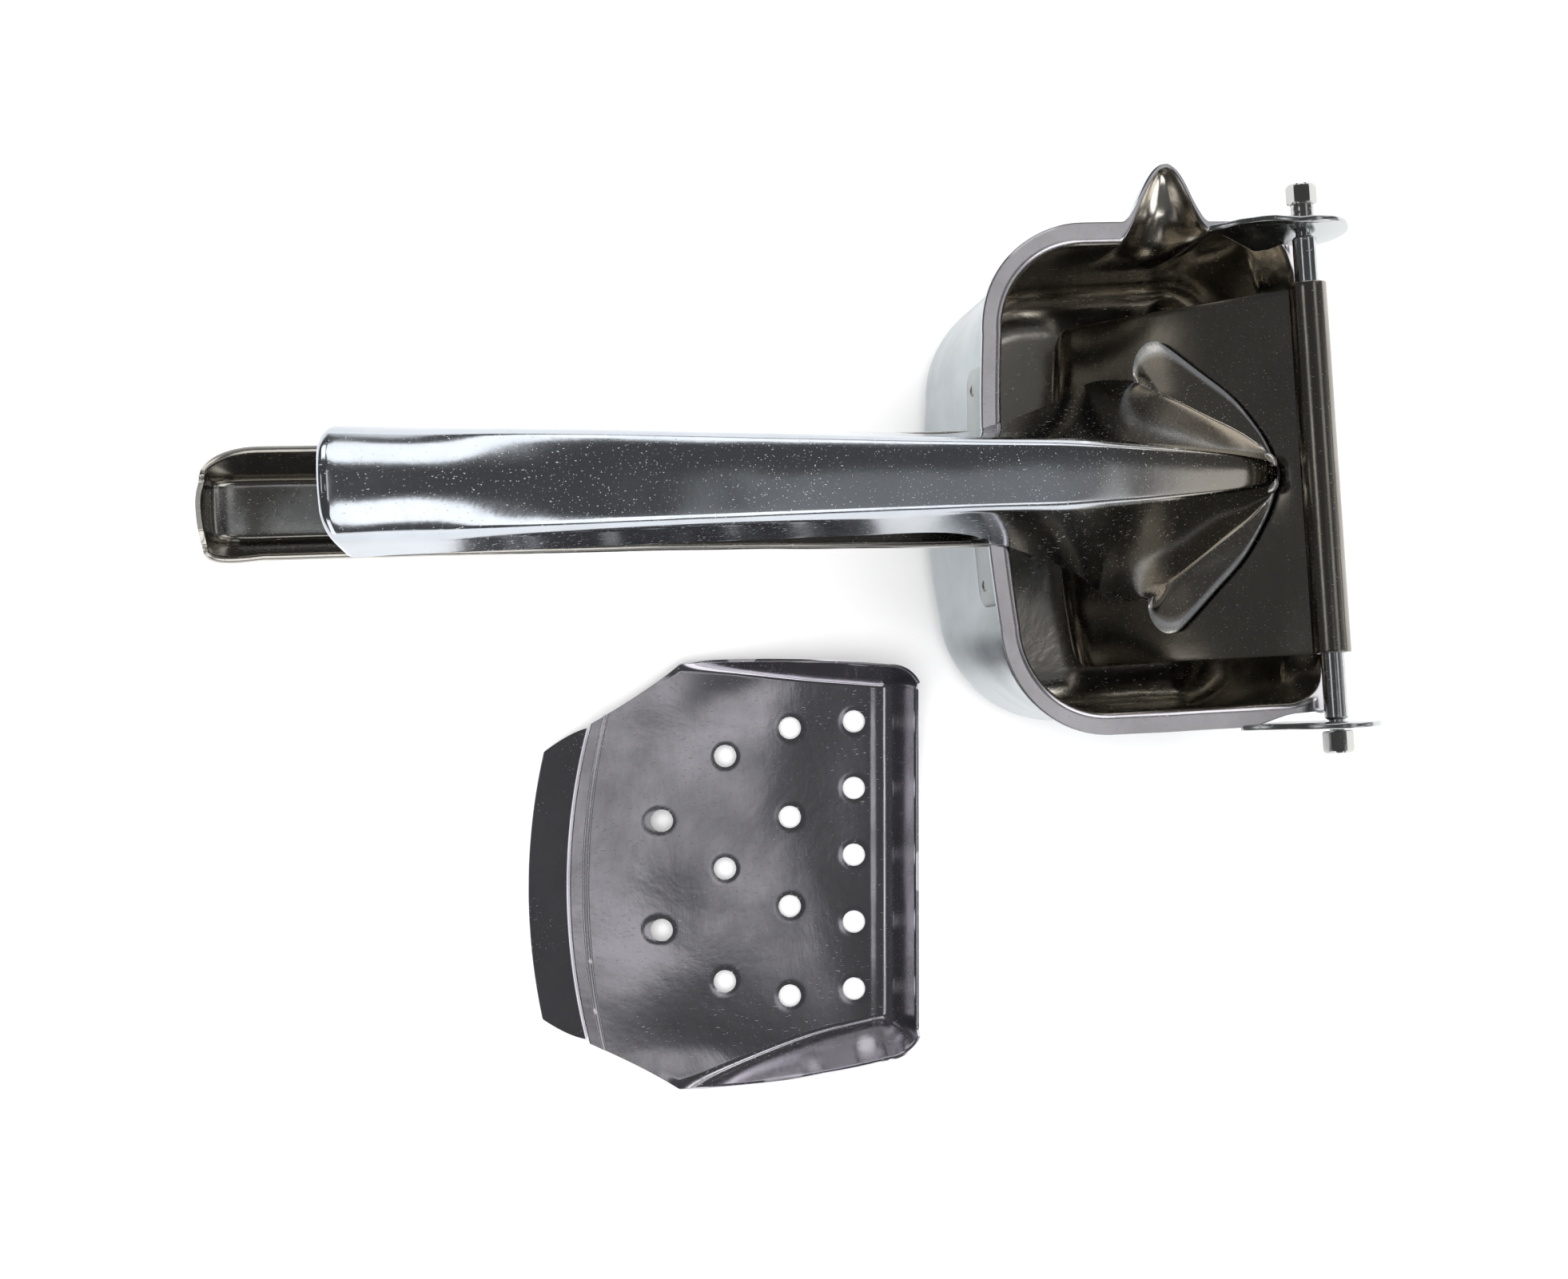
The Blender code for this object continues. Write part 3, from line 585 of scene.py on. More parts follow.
def ear_flange(reach, side):
    """Narrows the flange beside the far ear, which stands where the flange would run on."""
    width = -side - BOWL_HALF - RIM_ROUND
    narrow = blend(EAR_FLANGE_SHARE, 1.0, ease((reach - 0.006) / 0.012))
    return -BOWL_HALF - RIM_ROUND - width * narrow


def bowl_row(offset, fraction, extra, push):
    row = []
    rear_wall_end = base_drop(REAR_REACH) - BASE_FILLET
    sweep = rear_flare(blend(RIM_DROP + extra, rear_wall_end, min(1.0, fraction)))
    for reach, side, cut in ring(offset, sweep, min(1.0, fraction)):
        if cut > 0.0 and offset > 0.0:
            pull = cut * offset
            side = side * (1.0 - 0.5 * pull / BOWL_HALF)
            reach = reach + pull * 0.9
        if offset > RIM_ROUND and side < -BOWL_HALF and reach < EAR_FLANGE_END:
            side = ear_flange(reach, side)
        if side > 0.8 * BOWL_HALF:
            side += spout_push(spout_bump(reach), push, offset)
            side += shoulder_push(reach, offset, fraction)
        drop = bowl_drop(reach, fraction, extra, cut)
        row.append(at(reach, side, drop))
    return row


def uneven(rows, amount, size, seed, direction):
    """Gentle pressing unevenness, as real sheet has."""
    out = []
    for row in rows:
        out.append([point + direction(point) * (amount * wobble(point, size, seed)) for point in row])
    return out


def from_middle(point):
    middle = at(0.034, 0.0, 0.030)
    return (point - middle).normalized()


def colour_bowl(bowl, columns, levels):
    """Outside, inside and flange copies of the steel, the outside and inside colours being painted
    reflection tints (cool outside, warm inside); the sheet's outer faces come first, then its inner ones.
    """
    layer = columns * (levels - 1) + 1
    for polygon in bowl.data.polygons:
        place = polygon.index - layer
        if 0 <= place < FLANGE_FINISH_LEVELS * columns:
            polygon.material_index = 2
        elif 0 <= place < layer:
            polygon.material_index = 1


def build_bowl(materials):
    rows = [bowl_row(*level) for level in bowl_levels()]
    inner = rows[-1]
    middle = sum(inner, Vector()) / len(inner)
    for step in range(1, BASE_LEVELS + 1):
        rows.append([blend(point, middle, step / (BASE_LEVELS + 1.0)) for point in inner])
    rim_end = FLANGE_LEVELS + ROUND_LEVELS
    base_start = len(rows) - BASE_LEVELS - 2
    wavy = uneven(rows[:rim_end], 0.00018, 0.017, 3.0, from_middle)
    wavy.extend(uneven(rows[rim_end:base_start], 0.00034, 0.016, 3.0, from_middle))
    wavy.extend(rows[base_start:])
    bowl = grid_piece("bowl_shell", wavy, closed=True, cap_end=True)
    # Outer faces get the painted cool reflection tint, inner faces the painted warm reflection tint, and the
    # flange its satin copy.
    for name in ("bowl_out", "bowl", "flange"):
        bowl.data.materials.append(materials[name])
    thicken(bowl, SHEET * 0.96, 1.0)
    apply_modifiers(bowl)
    colour_bowl(bowl, len(wavy[0]), len(wavy))
    soften_edges(bowl, 0.00028, 2, 60.0)
    shade(bowl)
    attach(bowl, "bowl_body")
    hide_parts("bowl")


def ear_outline():
    """A round disc on the hinge axis with a tail that runs down and along to the rim."""
    outline = []
    for step in range(41):
        angle = radians(60.0 + 225.0 * step / 40.0)
        outline.append((EAR_RADIUS * cos(angle), EAR_RADIUS * sin(angle)))
    outline.extend(EAR_TAIL)
    return outline


def plate_from_outline(name, outline, thickness, mapping):
    """A flat plate with a filled outline, placed by a function of its two plane coordinates and height."""
    curve = bpy.data.curves.new(name, "CURVE")
    curve.dimensions = "2D"
    curve.fill_mode = "BOTH"
    curve.extrude = thickness / 2.0
    line = curve.splines.new("POLY")
    line.points.add(len(outline) - 1)
    for point, (x, y) in zip(line.points, outline):
        point.co = (x, y, 0.0, 1.0)
    line.use_cyclic_u = True
    holder = link_object(name + "_outline", curve)
    graph = bpy.context.evaluated_depsgraph_get()
    mesh = bpy.data.meshes.new_from_object(holder.evaluated_get(graph))
    bpy.data.objects.remove(holder, do_unlink=True)
    body = bmesh.new()
    body.from_mesh(mesh)
    bmesh.ops.remove_doubles(body, verts=body.verts, dist=1e-6)
    bmesh.ops.dissolve_limit(body, angle_limit=0.01, verts=body.verts, edges=body.edges)
    for vertex in body.verts:
        vertex.co = mapping(*vertex.co)
    bmesh.ops.recalc_face_normals(body, faces=body.faces)
    body.to_mesh(mesh)
    body.free()
    return link_object(name, mesh)


def build_ear(name, sign, inner, lean, tail_out, materials):
    """An ear on one side of the bowl, built outwards from its inner face, with a tail that meets the rim."""
    middle = inner + EAR_THICK / 2.0

    def placed(x, y, z):
        flow = tail_out * ease((x - 0.0030) / 0.0110)
        return at(x, sign * (z + middle + lean * y + flow), -y)

    obj = plate_from_outline(name, ear_outline(), EAR_THICK, placed)
    soften_edges(obj, 0.00030, 3, 50.0)
    shade(obj)
    finish_piece(obj, materials["ear"], "bowl_body")


# Press plate --------------------------------------------------------------------------------------


def plate_to_hinge(along, side, above):
    """Hinge frame coordinates, as reach, drop and side, of a point given on the plate."""
    reach = along * cos(PLATE_ANGLE) + above * sin(PLATE_ANGLE)
    drop = along * sin(PLATE_ANGLE) - above * cos(PLATE_ANGLE)
    return (reach, drop, side)


def plate_point(along, side, above):
    reach, drop, side = plate_to_hinge(along, side, above)
    return at(reach, side, drop)


def plate_curl(along, side, half):
    """The sides of the plate near its lip are drawn down a little."""
    return -PLATE_CURL * ease((along - PLATE_CURL_START) / PLATE_CURL_RUN) * (abs(side) / half) ** 4


def plate_stations():
    """Sections from the lip along the flat and round the barrel, as along, above and half width."""
    stations = []
    level = -BARREL_RADIUS
    for step in range(22):
        turn = LIP_TURN * (1.0 - step / 22.0)
        along = PLATE_FLAT + LIP_RADIUS * sin(turn)
        above = level - LIP_RADIUS * (1.0 - cos(turn))
        travelled = LIP_RADIUS * (LIP_TURN - turn)
        inset = 0.0
        if travelled < PLATE_CORNER:
            inset = PLATE_CORNER - sqrt(PLATE_CORNER**2 - (PLATE_CORNER - travelled) ** 2)
        stations.append((along, above, PLATE_FRONT_HALF - inset))
    for step in range(56):
        fraction = step / 56.0
        along = PLATE_FLAT * (1.0 - fraction)
        stations.append((along, level, blend(PLATE_FRONT_HALF, PLATE_HALF, fraction)))
    for step in range(73):
        angle = -pi / 2.0 - BARREL_SWEEP * step / 72.0
        stations.append((BARREL_RADIUS * cos(angle), BARREL_RADIUS * sin(angle), PLATE_HALF))
    return stations


def build_press_plate(materials):
    rows = []
    for along, above, half in plate_stations():
        row = []
        for column in range(61):
            side = half * (column / 30.0 - 1.0)
            lift = plate_curl(along, side, half)
            point = plate_point(along, side, above + lift)
            normal = plate_point(along, side, above + 1.0) - plate_point(along, side, above)
            amount = 0.00012 * ease((along - 0.004) / 0.010)
            row.append(point + normal * (amount * wobble(point, 0.014, 11.0)))
        rows.append(row)
    plate = grid_piece("press_plate_sheet", rows)
    thicken(plate, SHEET, 0.0)
    soften_edges(plate, 0.00036, 3, 60.0)
    shade(plate)
    finish_piece(plate, materials["plate"], "press_body", ["press_plate"])


# Upper handle -------------------------------------------------------------------------------------


def wing_level():
    """Height of a wing's middle over the barrel's axis, on the plate and clear of it."""
    return -BARREL_RADIUS + SHEET / 2.0 + GAP + SHEET


# Outer outline of a wing from the pinch to its tip, as along and side.
WING_OUTLINE = (
    (0.0105, 0.0012),
    (0.0112, 0.0046),
    (0.0137, 0.0098),
    (0.0190, 0.0172),
    (0.0262, 0.0238),
    (0.0334, 0.0302),
    (0.0357, 0.0315),
    (0.0380, 0.0312),
    (0.0401, 0.0292),
    (0.0412, 0.0262),
    (0.0414, 0.0234),
)
# Top reach, top drop, top half width, foot along the plate, foot side and crown.
HANDLE_ON_PLATE = (
    (0.0062, 0.0088, 0.0003, 0.0112, 0.0022, 0.0001),
    (0.0074, 0.0071, 0.0010, 0.0130, 0.0050, 0.0001),
    (0.0125, 0.0048, 0.0020, 0.0188, 0.0095, 0.0002),
    (0.0200, 0.0019, 0.0029, 0.0261, 0.0138, 0.0003),
    (0.0290, -0.0012, 0.0036, 0.0339, 0.0186, 0.0003),
    (0.0380, -0.0042, 0.0042, 0.0412, 0.0228, 0.0003),
)
# Top reach, top drop, top half width, foot reach, foot drop, foot side and crown.
HANDLE_PAST_PLATE = (
    (0.0460, -0.0067, 0.0047, 0.0378, 0.0262, 0.0226, 0.0003),
    (0.0540, -0.0093, 0.0051, 0.0445, 0.0190, 0.0208, 0.0003),
    (0.0620, -0.0118, 0.0054, 0.0520, 0.0110, 0.0170, 0.0003),
    (0.0720, -0.0148, 0.0056, 0.0665, 0.0050, 0.0120, 0.0003),
    (HANDLE_STRAIGHT, HANDLE_DROP, 0.0058, 0.0815, -0.0030, 0.0090, 0.0004),
)


def handle_stations():
    """Rows like those past the plate, from the pinch to the free end."""
    rows = []
    for reach, drop, half, along, side, crown in HANDLE_ON_PLATE:
        foot = plate_to_hinge(along, side, wing_level())
        rows.append((reach, drop, half, *foot, crown))
    rows.extend(HANDLE_PAST_PLATE)
    for step in range(1, 8):
        fraction = step / 7.0
        reach = blend(HANDLE_STRAIGHT, HANDLE_REACH - 0.0030, fraction)
        drop = HANDLE_DROP - (reach - HANDLE_STRAIGHT) * sin(HANDLE_SLOPE) / cos(HANDLE_SLOPE)
        height = blend(WALL_HEIGHT, WALL_HEIGHT * 0.92, fraction)
        foot_reach = reach + height * sin(HANDLE_SLOPE)
        foot_drop = drop + height * cos(HANDLE_SLOPE)
        half = blend(0.0058, 0.0079, fraction)
        foot_half = blend(0.0090, 0.0112, fraction)
        crown = 0.0004 + 0.0029 * ease((fraction - 0.62) / 0.26)
        rows.append((reach, drop, half, foot_reach, foot_drop, foot_half, crown))
    return rows


def rounded_corner(before, corner, after, radius, count):
    """Points round a corner between two directions, as a quadratic curve."""
    start = corner + (before - corner).normalized() * min(radius, (before - corner).length * 0.45)
    end = corner + (after - corner).normalized() * min(radius, (after - corner).length * 0.45)
    points = []
    for step in range(count):
        t = step / (count - 1.0)
        points.append(start * (1 - t) ** 2 + corner * (2 * t * (1 - t)) + end * t * t)
    return points


def handle_half_section(row, outer, shoulder):
    """One side of the channel from the top's middle to the foot and out to the wing's edge."""
    reach, drop, half, foot_reach, foot_drop, foot_side, crown = row
    top = Vector((reach, drop, 0.0))
    foot = Vector((foot_reach, foot_drop, foot_side))
    down = Vector((foot_reach - reach, foot_drop - drop, 0.0))
    down.normalize()
    edge = top + down * crown + Vector((0.0, 0.0, half + shoulder * 0.35))
    points = []
    for step in range(10):
        fraction = step / 10.0 * 0.82
        points.append(top + down * (crown * fraction**2) + Vector((0.0, 0.0, edge.z * fraction)))
    corner = rounded_corner(points[-1], edge, foot, shoulder, 10)
    points.extend(corner)
    wing_start = rounded_corner(corner[-1], foot, outer, 0.0022, 7)
    for step in range(1, 12):
        points.append(blend(corner[-1], wing_start[0], step / 12.0))
    points.extend(wing_start)
    for step in range(1, 7):
        points.append(blend(wing_start[-1], outer, step / 6.0))
    return points


def handle_row(stations, place):
    """A station and its half section, whose outer edge is a wing on the plate and a plain foot beyond."""
    row = spline(stations, place)
    foot = Vector((row[3], row[4], row[5]))
    top = Vector((row[0], row[1], row[2]))
    if place <= WING_END_ROW:
        along, side = spline(WING_OUTLINE, place / WING_END_ROW * (len(WING_OUTLINE) - 1))
        reach, drop, side = plate_to_hinge(along, side, wing_level())
        outer = Vector((reach, drop, side))
        if (outer - foot).length < 0.0006:
            outer = foot + Vector((0.0, 0.0, 0.0006))
    else:
        outer = foot + (foot - top).normalized() * 0.0004
    shoulder = blend(0.0016, 0.0030, ease((place - 9.0) / 7.0))
    shoulder = min(shoulder, (foot - top).length * 0.4)
    return row, handle_half_section(row, outer, shoulder)


def rounded_end(rows, length, corner):
    """Trims the free end square in plan, with round corners."""
    count = len(rows[0])
    last = rows[-1]
    middle = last[count // 2]
    onward = (middle - rows[-12][count // 2]).normalized()
    half = max(abs(point.y - middle.y) for point in last)
    trims = []
    for point in last:
        beyond = max(0.0, abs(point.y - middle.y) / half - 0.45) / 0.55
        trims.append((middle.x - point.x) / -onward.x + corner * beyond**2)
    out = []
    for row in rows:
        near = ease(1.0 - (middle - row[count // 2]).length / length)
        out.append([point - onward * (trim * near) for point, trim in zip(row, trims)])
    return out


def curled_end(last, before):
    """The free end turns inwards over a short round."""
    middle = sum(last, Vector()) / len(last)
    onward = (last[len(last) // 2] - before[len(before) // 2]).normalized()
    rows = []
    for step in range(1, 8):
        angle = pi / 2.0 * step / 7.0
        forward = onward * (0.0008 * sin(angle))
        inward = 0.05 * (1.0 - cos(angle))
        rows.append([blend(point, middle, inward) + forward for point in last])
    return rows


def build_upper_handle(materials):
    stations = handle_stations()
    last = len(stations) - 1
    places = [step / 26.0 for step in range(0, 26 * 6)]
    places.extend(blend(6.0, float(last), step / 110.0) for step in range(111))
    rows = []
    for place in places:
        row, half = handle_row(stations, place)
        shift = HANDLE_SKEW * row[0]
        points = [at(p.x, shift - p.z, p.y) for p in reversed(half[1:])]
        points.extend(at(p.x, shift + p.z, p.y) for p in half)
        rows.append(points)
    rows = rounded_end(rows, 0.020, 0.0026)
    rows.extend(curled_end(rows[-1], rows[-2]))
    wavy = uneven(rows, 0.00010, 0.012, 5.0, lambda point: Vector((0.0, 0.0, 1.0)))
    handle = grid_piece("upper_handle_sheet", wavy)
    thicken(handle, SHEET * 0.98, 1.0)
    soften_edges(handle, 0.00046, 4, 60.0)
    shade(handle, 50.0)
    finish_piece(handle, materials["handle"], "press_body", ["upper_handle"])


def weld_boss(name, along, side, radius, materials):
    """A small domed weld with a raised rim, lying on the plate."""
    rows = []
    for share, height in BOSS_PROFILE:
        above = BOSS_LEVEL + radius * height
        row = []
        for step in range(32):
            angle = 2.0 * pi * step / 32.0
            wide = radius * share * (1.0 + 0.05 * sin(3.0 * angle + along * 900.0))
            row.append(plate_point(along + wide * cos(angle), side + wide * sin(angle), above))
        rows.append(row)
    obj = grid_piece(name, rows, closed=True, cap_end=True)
    close_ends(obj)
    shade(obj, 60.0)
    # Pale weld-boss steel: a painted highlight.
    finish_piece(obj, materials["boss"], "press_body")


def crescent(name, place, radius, turn, body, materials):
    """A spot-weld mark: a thin raised crescent, placed by a function of two plane coordinates and height."""
    rows = []
    for step in range(19):
        angle = turn + radians(210.0) * step / 18.0
        thick = 0.00022 * sin(pi * (step + 0.6) / 19.2)
        row = []
        for around in range(10):
            tilt = 2.0 * pi * around / 10.0
            distance = radius + thick * cos(tilt)
            row.append(place(distance * cos(angle), distance * sin(angle), thick * sin(tilt) * 0.7))
        rows.append(row)
    obj = grid_piece(name, rows, closed=True, cap_end=True)
    shade(obj, 60.0)
    finish_piece(obj, materials["weld"], body)


def build_plate_welds(materials):
    weld_boss("weld_boss_spout_side", 0.0112, 0.0022, 0.0020, materials)
    weld_boss("weld_boss_far_side", 0.0114, -0.0021, 0.0022, materials)
    level = wing_level()
    marks = ((0.0225, 0.0172, 0.6), (0.0345, 0.0262, 2.2), (0.0225, -0.0172, 2.8), (0.0345, -0.0262, 0.2))
    for index, (along, side, turn) in enumerate(marks):

        def place(x, y, z, along=along, side=side):
            return plate_point(along + x, side + y, level + z)

        mark = "wing_weld_mark_%d" % index
        crescent(mark, place, 0.0009, turn, "press_body", materials)


# Lower handle -------------------------------------------------------------------------------------


def lower_half_section(top_half, floor_half, floor_drop):
    """One side of the channel, from the floor's middle over the fillet and the wall to its turned edge."""
    top_drop = LOWER_RIM_DROP
    radius = min(LOWER_FILLET, 0.42 * (floor_drop - top_drop))
    section = [(floor_half * 0.75 * step / 8.0, floor_drop) for step in range(8)]
    for step in range(13):
        angle = pi / 2.0 * step / 12.0 * 0.82
        side = floor_half - radius * 0.4 + radius * sin(angle)
        section.append((side, floor_drop - radius * (1.0 - cos(angle))))
    start_side, start_drop = section[-1]
    wall_half = top_half - LOWER_HEM
    for step in range(1, 17):
        fraction = step / 16.0
        section.append((blend(start_side, wall_half, fraction), blend(start_drop, top_drop, fraction)))
    for step in range(1, 6):
        angle = radians(80.0) * step / 5.0
        side = wall_half + LOWER_HEM * (1.0 - cos(angle)) * 1.2
        section.append((side, top_drop - 0.0006 * sin(angle)))
    return section


def lower_station(step):
    """Reach, half widths at the far and spout sides and how far into the scooped tip a section is."""
    if step <= LOWER_STEPS:
        fraction = step / LOWER_STEPS
        half = blend(0.0120, LOWER_TOP_HALF, ease(fraction * 2.0))
        return blend(LOWER_START, LOWER_TIP, fraction), half, half, 0.0
    turn = pi / 2.0 * (step - LOWER_STEPS) / LOWER_TIP_STEPS
    into = 1.0 - cos(turn)
    reach = blend(LOWER_TIP, LOWER_END - 0.0002, sin(turn))
    far_half = LOWER_TOP_HALF + 0.0012 * sin(turn) - 0.0040 * into**1.5
    return reach, far_half, LOWER_TOP_HALF - 0.0062 * into, into


def lower_row(step):
    reach, far_half, spout_half, into = lower_station(step)
    floor_drop = LOWER_FLOOR_DROP - (LOWER_FLOOR_DROP - LOWER_RIM_DROP - 0.0016) * into**1.5
    floor_half = LOWER_FLOOR_HALF - 0.0012 * into
    shift = LOWER_ROOT_SHIFT + LOWER_SKEW * (reach - LOWER_START)
    row = []
    for sign, half in ((-1.0, far_half), (1.0, spout_half)):
        run = []
        for side, drop in lower_half_section(half, floor_half, floor_drop):
            bow = LOWER_TIP_BOW * into * (side / half) ** 2
            run.append(at(reach - bow, shift + sign * side, drop))
        row = row + run[1:] if row else list(reversed(run))
    return row


def build_lower_handle(materials):
    rows = [lower_row(step) for step in range(LOWER_STEPS + LOWER_TIP_STEPS + 1)]
    wavy = uneven(rows, 0.00014, 0.014, 8.0, lambda point: Vector((0.0, 0.6, 0.8)))
    handle = grid_piece("lower_handle_sheet", wavy)
    thicken(handle, SHEET * 0.95, 1.0)
    soften_edges(handle, 0.00034, 3, 60.0)
    shade(handle, 45.0)
    finish_piece(handle, materials["lower"], "bowl_body", ["lower_handle"])


def tab_outline(sign):
    """A tab with two round outer corners, as side and height over the hinge's level along the rim."""
    side = TAB_HALF - TAB_CORNER
    outline = [(0.0095, -TAB_RIM)]
    for step in range(18):
        angle = pi / 2.0 * (1.0 - (step - step // 9) / 8.0)
        height = TAB_CORNER - TAB_FOOT if step > 8 else -TAB_RIM - TAB_CORNER
        outline.append((side + TAB_CORNER * cos(angle), height + TAB_CORNER * sin(angle)))
    outline.append((0.0070, -TAB_FOOT))
    outline.append((0.0060, 0.0030 - TAB_FOOT))
    return [(sign * side, height) for side, height in outline]


def build_tab(name, sign, materials):
    """A weld tab of the lower handle, curved a little so that it follows the bowl's front."""
    middle = LOWER_START + SHEET / 2.0

    def curved(x, y, z):
        bend = max(0.0, abs(x) - 0.0100)
        return at(middle + z - bend * 0.055, x, -y)

    obj = plate_from_outline(name, tab_outline(sign), SHEET, curved)
    soften_edges(obj, 0.00030, 3, 50.0)
    shade(obj)
    finish_piece(obj, materials["tab"], "bowl_body")
    for index, (x, y) in enumerate(((0.0195, -0.0120), (0.0205, -0.0185))):

        def place(a, b, c, x=x, y=y):
            return curved(sign * x + a, y + b, SHEET / 2.0 + c)

        mark = "%s_mark_%d" % (name, index)
        crescent(mark, place, 0.0011, 0.5 + index * 2.0, "bowl_body", materials)


# Hinge rod and nuts -------------------------------------------------------------------------------


def turned(name, profile, segments=48):
    """A closed round piece on the hinge axis from a profile of side position and radius."""
    rows = []
    for side, radius in profile:
        row = []
        for step in range(segments):
            angle = 2.0 * pi * step / segments
            row.append(HINGE + Vector((radius * cos(angle), side, radius * sin(angle))))
        rows.append(row)
    obj = grid_piece(name, rows, closed=True, cap_end=True)
    close_ends(obj)
    return obj


def rod_profile():
    """Side position and radius along the far stem, the uneven bar and the grooved spout-side stem."""
    start = ROD_FAR_SHOULDER
    end = ROD_SPOUT_SHOULDER
    profile = [(-ROD_END, ROD_TIP), (ROD_CHAMFER - ROD_END, ROD_STEM), (start - 0.0002, ROD_STEM)]
    profile.extend([(start, ROD_STEP), (start + 0.0004, ROD_RADIUS)])
    for step in range(1, 60):
        side = blend(start + 0.0004, end - 0.0004, step / 60.0)
        profile.append((side, ROD_RADIUS + 0.00002 * sin(step * 2.3)))
    profile.extend([(end - 0.0004, ROD_RADIUS), (end, ROD_STEP), (end + 0.0002, ROD_STEM)])
    for step in range(18):
        side = end + 0.0004 + 0.0004 * step
        profile.append((side, 0.00164 if step % 2 else 0.00172))
    profile.extend([(ROD_END - ROD_CHAMFER, ROD_STEM), (ROD_END, ROD_TIP)])
    return profile


def nut_row(side, share):
    """The nut's six slightly rounded corners at one side position, drawn in where the share is small."""
    radius = NUT_WIDTH / sqrt(3.0)
    row = []
    for corner in range(6):
        start = pi / 3.0 * corner + NUT_TURN
        first = Vector((cos(start), sin(start)))
        second = Vector((cos(start + pi / 3.0), sin(start + pi / 3.0)))
        for part in range(6):
            flat = blend(first, second, part / 6.0)
            size = min(flat.length, 0.985)
            flat = flat.normalized() * size * radius * min(1.0, share / max(0.80, size))
            row.append(HINGE + Vector((flat.x, side, flat.y)))
    return row


def hex_nut(name, inner, outer, node, materials):
    """A cap nut with chamfered corners and a domed end."""
    sign = 1.0 if outer > 0.0 else -1.0
    rows = [nut_row(inner + sign * step_in, share) for step_in, share in NUT_START]
    rows.append(nut_row((inner + outer) / 2.0, 1.0))
    rows.extend(nut_row(outer - sign * step_in, share) for step_in, share in NUT_END)
    obj = grid_piece(name, rows, closed=True, cap_end=True)
    close_ends(obj)
    shade(obj, 25.0)
    finish_piece(obj, materials["nut"], "bowl_body", [node])


def nut_collar(name, start, end, materials):
    """The round collar under the spout-side nut, with fine grooves."""
    profile = [(start, 0.0022), (start + 0.0002, ROD_RADIUS)]
    for step in range(1, 12):
        side = start + 0.0003 + (end - start - 0.0004) * step / 12.0
        profile.append((side, ROD_RADIUS if step % 4 else 0.00243))
    profile.append((end + 0.0004, 0.0024))
    collar = turned(name, profile)
    shade(collar, 40.0)
    finish_piece(collar, materials["nut"], "bowl_body")


def build_rod_and_nuts(materials):
    rod = turned("hinge_rod_bar", rod_profile())
    shade(rod, 40.0)
    finish_piece(rod, materials["rod"], "bowl_body", ["hinge_rod"])
    hex_nut("nut_spout_side", 0.0553, 0.0597, "pivot_nut_spout_side", materials)
    nut_collar("nut_spout_side_collar", 0.0507, 0.0553, materials)
    hex_nut("nut_far_side", -0.0549, -0.0597, "pivot_nut_far_side", materials)


# Strainer tray ------------------------------------------------------------------------------------


def tray_half_width(along):
    """Half of the tray's width: a narrowing lip, a chamfered neck, long sides and round end corners."""
    if along < 0.0:
        return blend(TRAY_NECK - 0.0008, TRAY_LIP_HALF, (-along / TRAY_LIP) ** 1.6)
    if along < TRAY_CHAMFER:
        return blend(TRAY_NECK, TRAY_HALF, along / TRAY_CHAMFER)
    corner_start = TRAY_LENGTH - TRAY_CORNER
    if along > corner_start:
        into = (along - corner_start) / TRAY_CORNER
        return TRAY_END_HALF - TRAY_CORNER + TRAY_CORNER * sqrt(max(0.0, 1.0 - into**2))
    narrowing = ((along - TRAY_CHAMFER) / (corner_start - TRAY_CHAMFER)) ** 1.6
    return blend(TRAY_HALF, TRAY_END_HALF, narrowing)


def tray_flare(along, sign):
    """How far a side wall leans outwards, which is more on the side away from the ricer."""
    lean = 0.0026 if sign > 0.0 else 0.0070
    return lean * ease((along - TRAY_CHAMFER * 0.5) / 0.045) + 0.0012


def soft_max(first, second, radius):
    """The larger of two heights with a rounded valley where they meet."""
    gap = max(0.0, radius - abs(first - second)) / radius
    return max(first, second) + gap * gap * radius * 0.25


def tray_height(along, side, half):
    """Height over the flat floor of the lip, the step beside it, the dished floor and the walls."""
    if along < 0.0:
        fall = -TRAY_LIP_FALL * (-along / TRAY_LIP) - TRAY_LIP_STEP
        return fall + TRAY_LIP_STEP * (1.0 - ease(-along / 0.0006))
    side_height = TRAY_WALL * ease((along - TRAY_CHAMFER * 0.7) / 0.045)
    flare = tray_flare(along, side)
    into_side = (abs(side) - (half - flare)) / flare
    side_rise = side_height * min(1.0, max(0.0, into_side)) ** 1.35
    into_end = (along - TRAY_FLOOR) / (TRAY_LENGTH - TRAY_FLOOR)
    end_rise = TRAY_WALL * min(1.0, max(0.0, into_end)) ** 2.8
    step = 0.0005 * ease((0.0034 - along) / 0.0010)
    rest = min(1.0, max(0.0, 1.0 - along / TRAY_FLOOR))
    dish = TRAY_DISH * (rest**1.7 - rest)
    return soft_max(side_rise, end_rise, 0.0030) + step + dish


def hole_dip(along, side):
    """The sheet is drawn down slightly round each punched hole."""
    dip = 0.0
    for row_along, sides in TRAY_HOLE_ROWS:
        for hole_side in sides:
            beside = side - hole_side - TRAY_HOLE_SKEW * row_along
            away = sqrt((along - row_along) ** 2 + beside**2) - TRAY_HOLE
            dip -= 0.00010 * (1.0 - ease(away / 0.0008))
    return dip


def tray_unevenness(along, side, point):
    """Waves in the floor that fade out at the folds and at the lip, on which the tray stands."""
    inside = ease((TRAY_HALF - abs(side)) / 0.01)
    away = max(0.0, sin(pi * min(1.0, max(0.0, along / TRAY_FLOOR))))
    return inside * (0.00012 * wobble(point, 0.016, 21.0) + 0.00050 * away * wobble(point, 0.026, 33.0))


def lip_bow(along, side):
    """The lip and the fold beside it bow out in plan."""
    weight = max(0.0, 1.0 - max(0.0, along) / TRAY_CHAMFER)
    return -TRAY_BOW * weight * (1.0 - (side / TRAY_NECK) ** 2)


